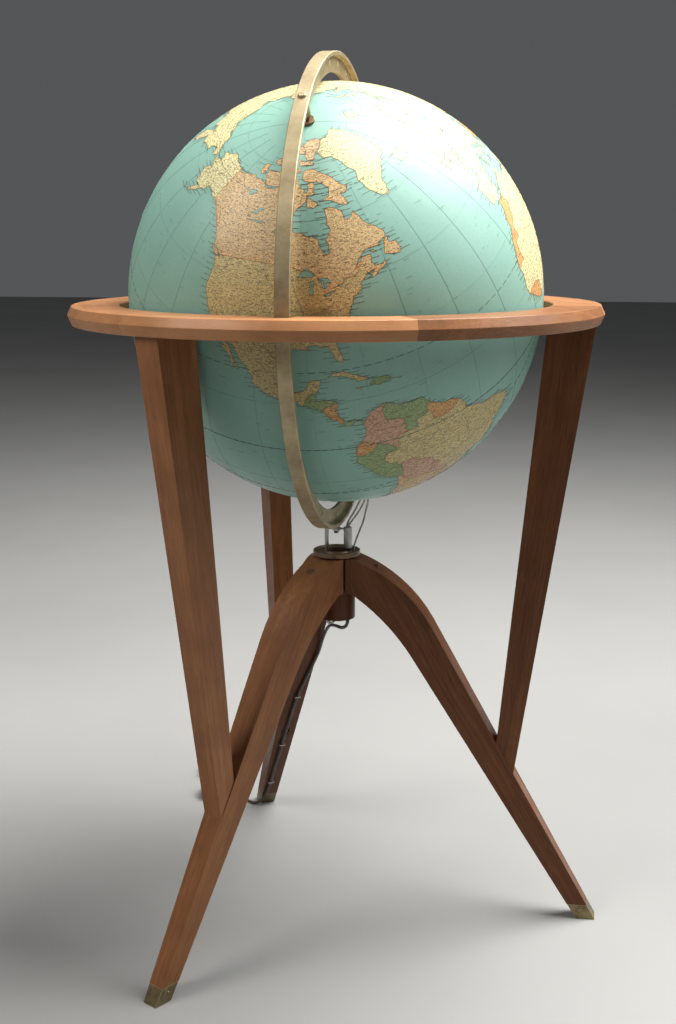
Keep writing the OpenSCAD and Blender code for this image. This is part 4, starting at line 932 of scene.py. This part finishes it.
class Print:
    """Gathers thin printed shapes on the ball into one mesh; each vertex is kept as its direction
    in the map's own frame and its height over the ball. The rim is 1 on a land's outer edge."""

    def __init__(self, lift):
        self.lift, self.verts, self.faces, self.rim = lift, [], [], []

    def strip(self, line, width):
        """A thin band of ink along a line of unit directions in the map's own frame."""
        base, count = len(self.verts), len(line)
        for i, v in enumerate(line):
            along = line[min(i + 1, count - 1)] - line[max(i - 1, 0)]
            side = v.cross(along).normalized() * width / 2 / BALL_R
            for where, r in ((v - side, -PRINT_DEPTH), (v - side, self.lift),
                             (v + side, self.lift), (v + side, -PRINT_DEPTH)):
                self.verts.append((where.normalized(), r))
                self.rim.append(0.0)
        for i in range(count - 1):
            for j in range(4):
                a, b = base + 4 * i + j, base + 4 * i + (j + 1) % 4
                self.faces.append((a, b, b + 4, a + 4))
        self.faces.append((base, base + 3, base + 2, base + 1))
        last = base + 4 * (count - 1)
        self.faces.append((last, last + 1, last + 2, last + 3))

    def patch(self, corners, triangles):
        """A patch of land with thickness, from triangles over unit directions."""
        base, n = len(self.verts), len(corners)
        self.verts += [(v, self.lift) for v in corners] + [(v, -PRINT_DEPTH) for v in corners]
        edges = {}
        for a, b, c in triangles:
            self.faces.append((base + a, base + b, base + c))
            self.faces.append((base + n + c, base + n + b, base + n + a))
            for e in ((a, b), (b, c), (c, a)):
                edges[e] = True
        rim = [0.0] * n
        for a, b in edges:
            if (b, a) not in edges:
                self.faces.append((base + b, base + a, base + n + a, base + n + b))
                rim[a] = rim[b] = 1.0
        self.rim += rim + rim

    def build(self, name, material):
        turn = Matrix.Rotation(radians(TURN_ON_AXIS), 3, "Z")
        verts = [BALL_FRAME @ ((turn @ v) * (BALL_R + r)) for v, r in self.verts]
        piece = new_object(name, verts, self.faces, material)
        piece.data.attributes.new("rim", "FLOAT", "POINT").data.foreach_set("value", self.rim)
        bm = bmesh.new()
        bm.from_mesh(piece.data)
        loose = [v for v in bm.verts if not v.link_faces]
        bmesh.ops.delete(bm, geom=loose, context="VERTS")
        bmesh.ops.recalc_face_normals(bm, faces=bm.faces[:])
        bm.to_mesh(piece.data)
        bm.free()
        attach(piece, "ball")


def inside(point, ring):
    """Whether a point lies in a closed outline of the plane."""
    x, y = point
    odd = False
    for (x0, y0), (x1, y1) in zip(ring, ring[1:] + ring[:1]):
        if (y0 > y) != (y1 > y) and x < (x1 - x0) * (y - y0) / (y1 - y0) + x0:
            odd = not odd
    return odd


class Flattening:
    """Turns directions into points of a plane about their middle, and back. Distances to the
    middle stay as they are."""

    def __init__(self, line):
        self.out = sum(line, Vector()).normalized()
        self.east = Vector((0, 0, 1)).cross(self.out).normalized()
        self.north = self.out.cross(self.east)

    def flat(self, v):
        angle = v.angle(self.out)
        x, y = v.dot(self.east), v.dot(self.north)
        r = math.hypot(x, y) or 1.0
        return (x / r * angle, y / r * angle)

    def back(self, p):
        angle = math.hypot(*p)
        if angle < 1e-9:
            return self.out.copy()
        side = (self.east * p[0] + self.north * p[1]) / angle
        return self.out * cos(angle) + side * sin(angle)


def cut_land(name, coast):
    """Cuts one land along its borders; returns its corners, and for each region the corners of
    its triangles with the triangles' middles."""
    flattening = Flattening(coast)
    ring = [flattening.flat(v) for v in coast]
    points = [Vector(p) for p in ring]
    edges = [(i, (i + 1) % len(ring)) for i in range(len(ring))]
    lines = []
    for text in BORDERS.get(name, "").split("|"):
        if text:
            line = wander(places(text), 1.2, 0.09)
            base = len(points)
            points += [Vector(flattening.flat(v)) for v in line]
            edges += [(base + i, base + i + 1) for i in range(len(line) - 1)]
            lines.append(range(base, len(points)))
    for line in lines:
        others = [i for other in lines if other is not line for i in other]
        for end in (line[0], line[-1]):
            near = min(others, key=lambda i: (points[i] - points[end]).length, default=end)
            if 1e-6 < (points[near] - points[end]).length < JUNCTION:
                edges.append((end, near))
    walls_in = len(edges)
    # Points inside the land keep its triangles close to the ball's curve; the uneven offsets keep
    # them off the outline's own points
    step = radians(1.5)
    lows = [min(p[i] for p in ring) for i in (0, 1)]
    highs = [max(p[i] for p in ring) for i in (0, 1)]
    for i in range(int((highs[0] - lows[0]) / step) + 1):
        for j in range(int((highs[1] - lows[1]) / step) + 1):
            points.append(Vector((lows[0] + (i + 0.37 + 0.5 * (j % 2)) * step,
                                  lows[1] + (j + 0.41) * step)))
    verts, out_edges, faces, _, from_edges, _ = delaunay_2d_cdt(points, edges, [], 0, 1e-7)
    walls = {tuple(sorted(e)) for e, source in zip(out_edges, from_edges) if source
             and any(s < walls_in for s in source)}
    # Triangles that no wall parts belong to one region
    beside = {}
    for f, tri in enumerate(faces):
        for k in range(3):
            beside.setdefault(tuple(sorted((tri[k], tri[(k + 1) % 3]))), []).append(f)
    group = [-1] * len(faces)
    groups = []
    for start in range(len(faces)):
        if group[start] >= 0:
            continue
        stack, members = [start], []
        group[start] = len(groups)
        while stack:
            f = stack.pop()
            members.append(f)
            for k in range(3):
                e = tuple(sorted((faces[f][k], faces[f][(k + 1) % 3])))
                if e in walls:
                    continue
                for g in beside[e]:
                    if group[g] < 0:
                        group[g] = len(groups)
                        stack.append(g)
        groups.append(members)
    corners = [flattening.back(v) for v in verts]
    middle = [sum((verts[i] for i in tri), Vector((0, 0))) / 3 for tri in faces]

    def size(f):
        a, b, c = (verts[i] for i in faces[f])
        return abs((b - a).cross(c - a))

    regions = []
    for members in groups:
        biggest = max(members, key=size)
        if inside(middle[biggest], ring):
            regions.append(([faces[f] for f in members],
                            [flattening.back(middle[f]) for f in members]))
    return corners, regions


def tint_of(middles, seeds):
    """The tint whose seeds lie nearest to most of a region's triangles."""
    votes = {}
    for m in middles:
        tint = max(seeds, key=lambda seed: m.dot(seed[1]))[0]
        votes[tint] = votes.get(tint, 0) + 1
    return max(votes, key=votes.get)


def word(marks, lon, lat, size, width):
    """A row of short blocks, such as small print leaves from afar."""
    left = size
    stretch = degrees_to_metre(lat)
    while left > 0:
        block = chance.uniform(0.5, 1.5) * MM
        marks.strip([unit_of(lon, lat), unit_of(lon + block * stretch, lat)], width)
        lon += (block + BLOCK_GAP) * stretch
        left -= block + BLOCK_GAP


def make_map():
    """The lands, coasts, borders, rivers, lakes and the small print on land and along the coasts."""
    seeds = [(tint, unit_of(*p)) for tint, text in TINTS.items() for p in places(text)]
    land = {tint: Print(LAND_LIFT) for tint in TINTS}
    ink, blue = Print(INK_LIFT), Print(RIVER_LIFT)
    coastal = []
    for name, text in COASTS.items():
        coast = wander(places(text), 0.5 if name in BORDERS else 0.6, 0.1, closed=True)
        corners, regions = cut_land(name, coast)
        for triangles, middles in regions:
            land[tint_of(middles, seeds)].patch(corners, triangles)
            for m, (a, b, c) in zip(middles, triangles):
                area = (corners[b] - corners[a]).cross(corners[c] - corners[a]).length / 2
                expected = area * (BALL_R / MM) ** 2 / WORD_AREA
                for _ in range(int(expected + chance.random())):
                    u, w = sorted((chance.random(), chance.random()))
                    v = corners[a] * u + corners[b] * (w - u) + corners[c] * (1 - w)
                    lon, lat = lon_lat(v.normalized())
                    word(ink, lon, lat, chance.uniform(0.6, 2.6) * MM, LAND_WORD)
        ink.strip(coast + coast[:1], COAST_LINE)
        middle = sum(coast, Vector())
        turned = sum(a.cross(b).dot(middle) for a, b in zip(coast, coast[1:] + coast[:1]))
        coastal += [(coast, i, turned > 0) for i in range(3, len(coast) - 3, 3)]
    for name, text in BORDERS.items():
        for line in text.split("|"):
            ink.strip(wander(places(line), 1.2, 0.05), COAST_LINE)
    for line in RIVERS.split("|"):
        blue.strip(wander(places(line), 0.6, 0.14), RIVER_LINE)
    for coast, i, left_turning in coastal:
        v = coast[i]
        along = coast[i + 1] - coast[i - 1]
        seaward = along.cross(v) if left_turning else v.cross(along)
        lon, lat = lon_lat(v)
        east = Vector((-v.y, v.x, 0)).dot(seaward) > 0
        size = chance.uniform(3.0, 9.0) * MM
        reach = degrees_to_metre(lat)
        start = lon + (COAST_GAP * reach if east else -(size + COAST_GAP) * reach)
        word(ink, start, lat, size, COAST_WORD)
    lakes = Print(LAKE_LIFT)
    for text in LAKES.split("|"):
        shore = wander(places(text), 0.5, 0.08, closed=True)
        corners, regions = cut_land("lake", shore)
        for triangles, _ in regions:
            lakes.patch(corners, triangles)
        ink.strip(shore + shore[:1], SHORE_LINE)
    return land, ink, blue, lakes


def make_grid():
    """The net of meridians and parallels with small print scattered over it; and, heavier, the
    equator, the tropics, the polar circles and the ecliptic."""
    fine, heavy = Print(GRID_LIFT), Print(CIRCLE_LIFT)
    for lon in range(-180, 180, 15):
        top = 88 if lon % 90 == 0 else 80
        fine.strip([unit_of(lon, lat) for lat in range(-top, top + 1, 2)], GRID_LINE)
    for lat in range(-75, 90, 15):
        if lat:
            fine.strip([unit_of(lon, lat) for lon in range(-180, 181, 3)], GRID_LINE)
    for lon in range(-180, 180, 1):
        width = EQUATOR_WIDE if lon % 2 else EQUATOR_NARROW
        heavy.strip([unit_of(lon, 0), unit_of(lon + 1, 0)], width)
    for lat in (TROPIC, -TROPIC, POLAR_CIRCLE, -POLAR_CIRCLE):
        for lon in range(-180, 180, 3):
            heavy.strip([unit_of(lon + d, lat) for d in range(3)], CIRCLE_LINE)
    lean = Matrix.Rotation(radians(TROPIC), 3, Vector((1, 0, 0)))
    spin = Matrix.Rotation(radians(-12), 3, "Z")
    for lon in range(-180, 180, 2):
        a, b = (spin @ (lean @ unit_of(lon + d, 0)) for d in (0, 1.3))
        heavy.strip([a, b], ECLIPTIC_LINE)
    for _ in range(LOOSE_WORDS):
        v = Vector([chance.gauss(0, 1) for _ in range(3)]).normalized()
        lon, lat = lon_lat(v)
        if abs(lat) < LOOSE_WORD_LIMIT:
            word(fine, lon, lat, chance.uniform(1, 6) * MM, LOOSE_WORD)
    return fine, heavy


def half_ball(name, south, hole, material):
    """Half of the ball's shell, from the equator to the pole's hole of that radius."""
    wall, sides, rows = 2.6 * MM, 192, 48
    top = math.degrees(math.acos(hole / BALL_R))
    profile = [(BALL_R, top * i / rows) for i in range(rows + 1)]
    profile += [(BALL_R - wall, top * (rows - i) / rows) for i in range(rows + 1)]
    verts, faces = [], []
    sign = -1 if south else 1
    for r, lat in profile:
        for j in range(sides):
            a, b = 2 * math.pi * j / sides, radians(lat)
            v = Vector((cos(b) * cos(a), cos(b) * sin(a), sign * sin(b))) * r
            verts.append(BALL_FRAME @ v)
    count = len(profile)
    for i in range(count):
        for j in range(sides):
            k, q, n = (j + 1) % sides, i * sides, (i + 1) % count * sides
            quad = (q + j, q + k, n + k, n + j)
            faces.append(quad[::-1] if south else quad)
    piece = new_object(name, verts, faces, material, smooth=True)
    piece.data.set_sharp_from_angle(angle=radians(40))
    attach(piece, "ball")
    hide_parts("south_shell" if south else "north_shell")


def make_ball():
    ocean = map_material("print_ocean", (0.235, 0.43, 0.36), 0.84)
    half_ball("ball_north", False, 4.5 * MM, ocean)
    half_ball("ball_south", True, 7.0 * MM, ocean)
    land, ink, blue, lakes = make_map()
    for tint, sheet in land.items():
        colour, band = PRINTS[tint]
        sheet.build("land_" + tint, map_material("print_" + tint, colour, 0.84, 0.8, band))
    lakes.build("map_lakes", ocean)
    fine, heavy = make_grid()
    ink.build("map_names", map_material("print_brown_ink", (0.13, 0.085, 0.05), 0.6))
    blue.build("map_rivers", map_material("print_blue_ink", (0.08, 0.16, 0.17), 0.7))
    fine.build("map_grid", map_material("print_teal_ink", (0.15, 0.29, 0.24), 0.8))
    heavy.build("map_circles", map_material("print_dark_ink", (0.05, 0.06, 0.055), 0.7))


make_ball()


# ---------------------------------------------------------------- light and floor

def make_light(name, place, size, power, colour):
    """A round area light that faces the ball's middle."""
    data = bpy.data.lights.new(name, "AREA")
    data.shape = "DISK"
    data.size = size
    data.energy = power
    data.color = colour
    light = linked(name, data)
    light.location = place
    light.rotation_euler = (BALL - Vector(place)).to_track_quat("-Z", "Y").to_euler()


def make_studio():
    make_light("window", (0.86, 0.42, 2.55), 2.1, 185, (1.0, 0.985, 0.95))
    make_light("front", (-1.55, -1.25, 2.35), 1.3, 46, (1.0, 0.97, 0.93))
    make_light("side", (2.0, 0.3, 1.75), 1.4, 26, (0.95, 0.98, 1.0))
    world = bpy.data.worlds.new("studio")
    bpy.context.scene.world = world
    world.use_nodes = True
    background = world.node_tree.nodes["Background"]
    background.inputs["Color"].default_value = (0.82, 0.84, 0.86, 1)
    background.inputs["Strength"].default_value = 0.11
    bpy.context.scene.view_settings.view_transform = "Standard"
    s = Shader("floor_paper", Roughness=0.85)
    place = s.place()
    s.colour(s.mix(s.ramp(s.noise(place, 1.5, 4.0), (0.3, 0.0), (0.7, 1.0)),
                   (0.25, 0.25, 0.246), (0.28, 0.28, 0.276)))
    s.bump(s.noise(place, 220.0, 3.0), 0.05, 0.0004)
    half = 12.0
    corners = [(-half, -half, 0), (half, -half, 0), (half, half, 0), (-half, half, 0)]
    floor = new_object("studio_floor", corners, [(0, 1, 2, 3)], s.material)


make_studio()
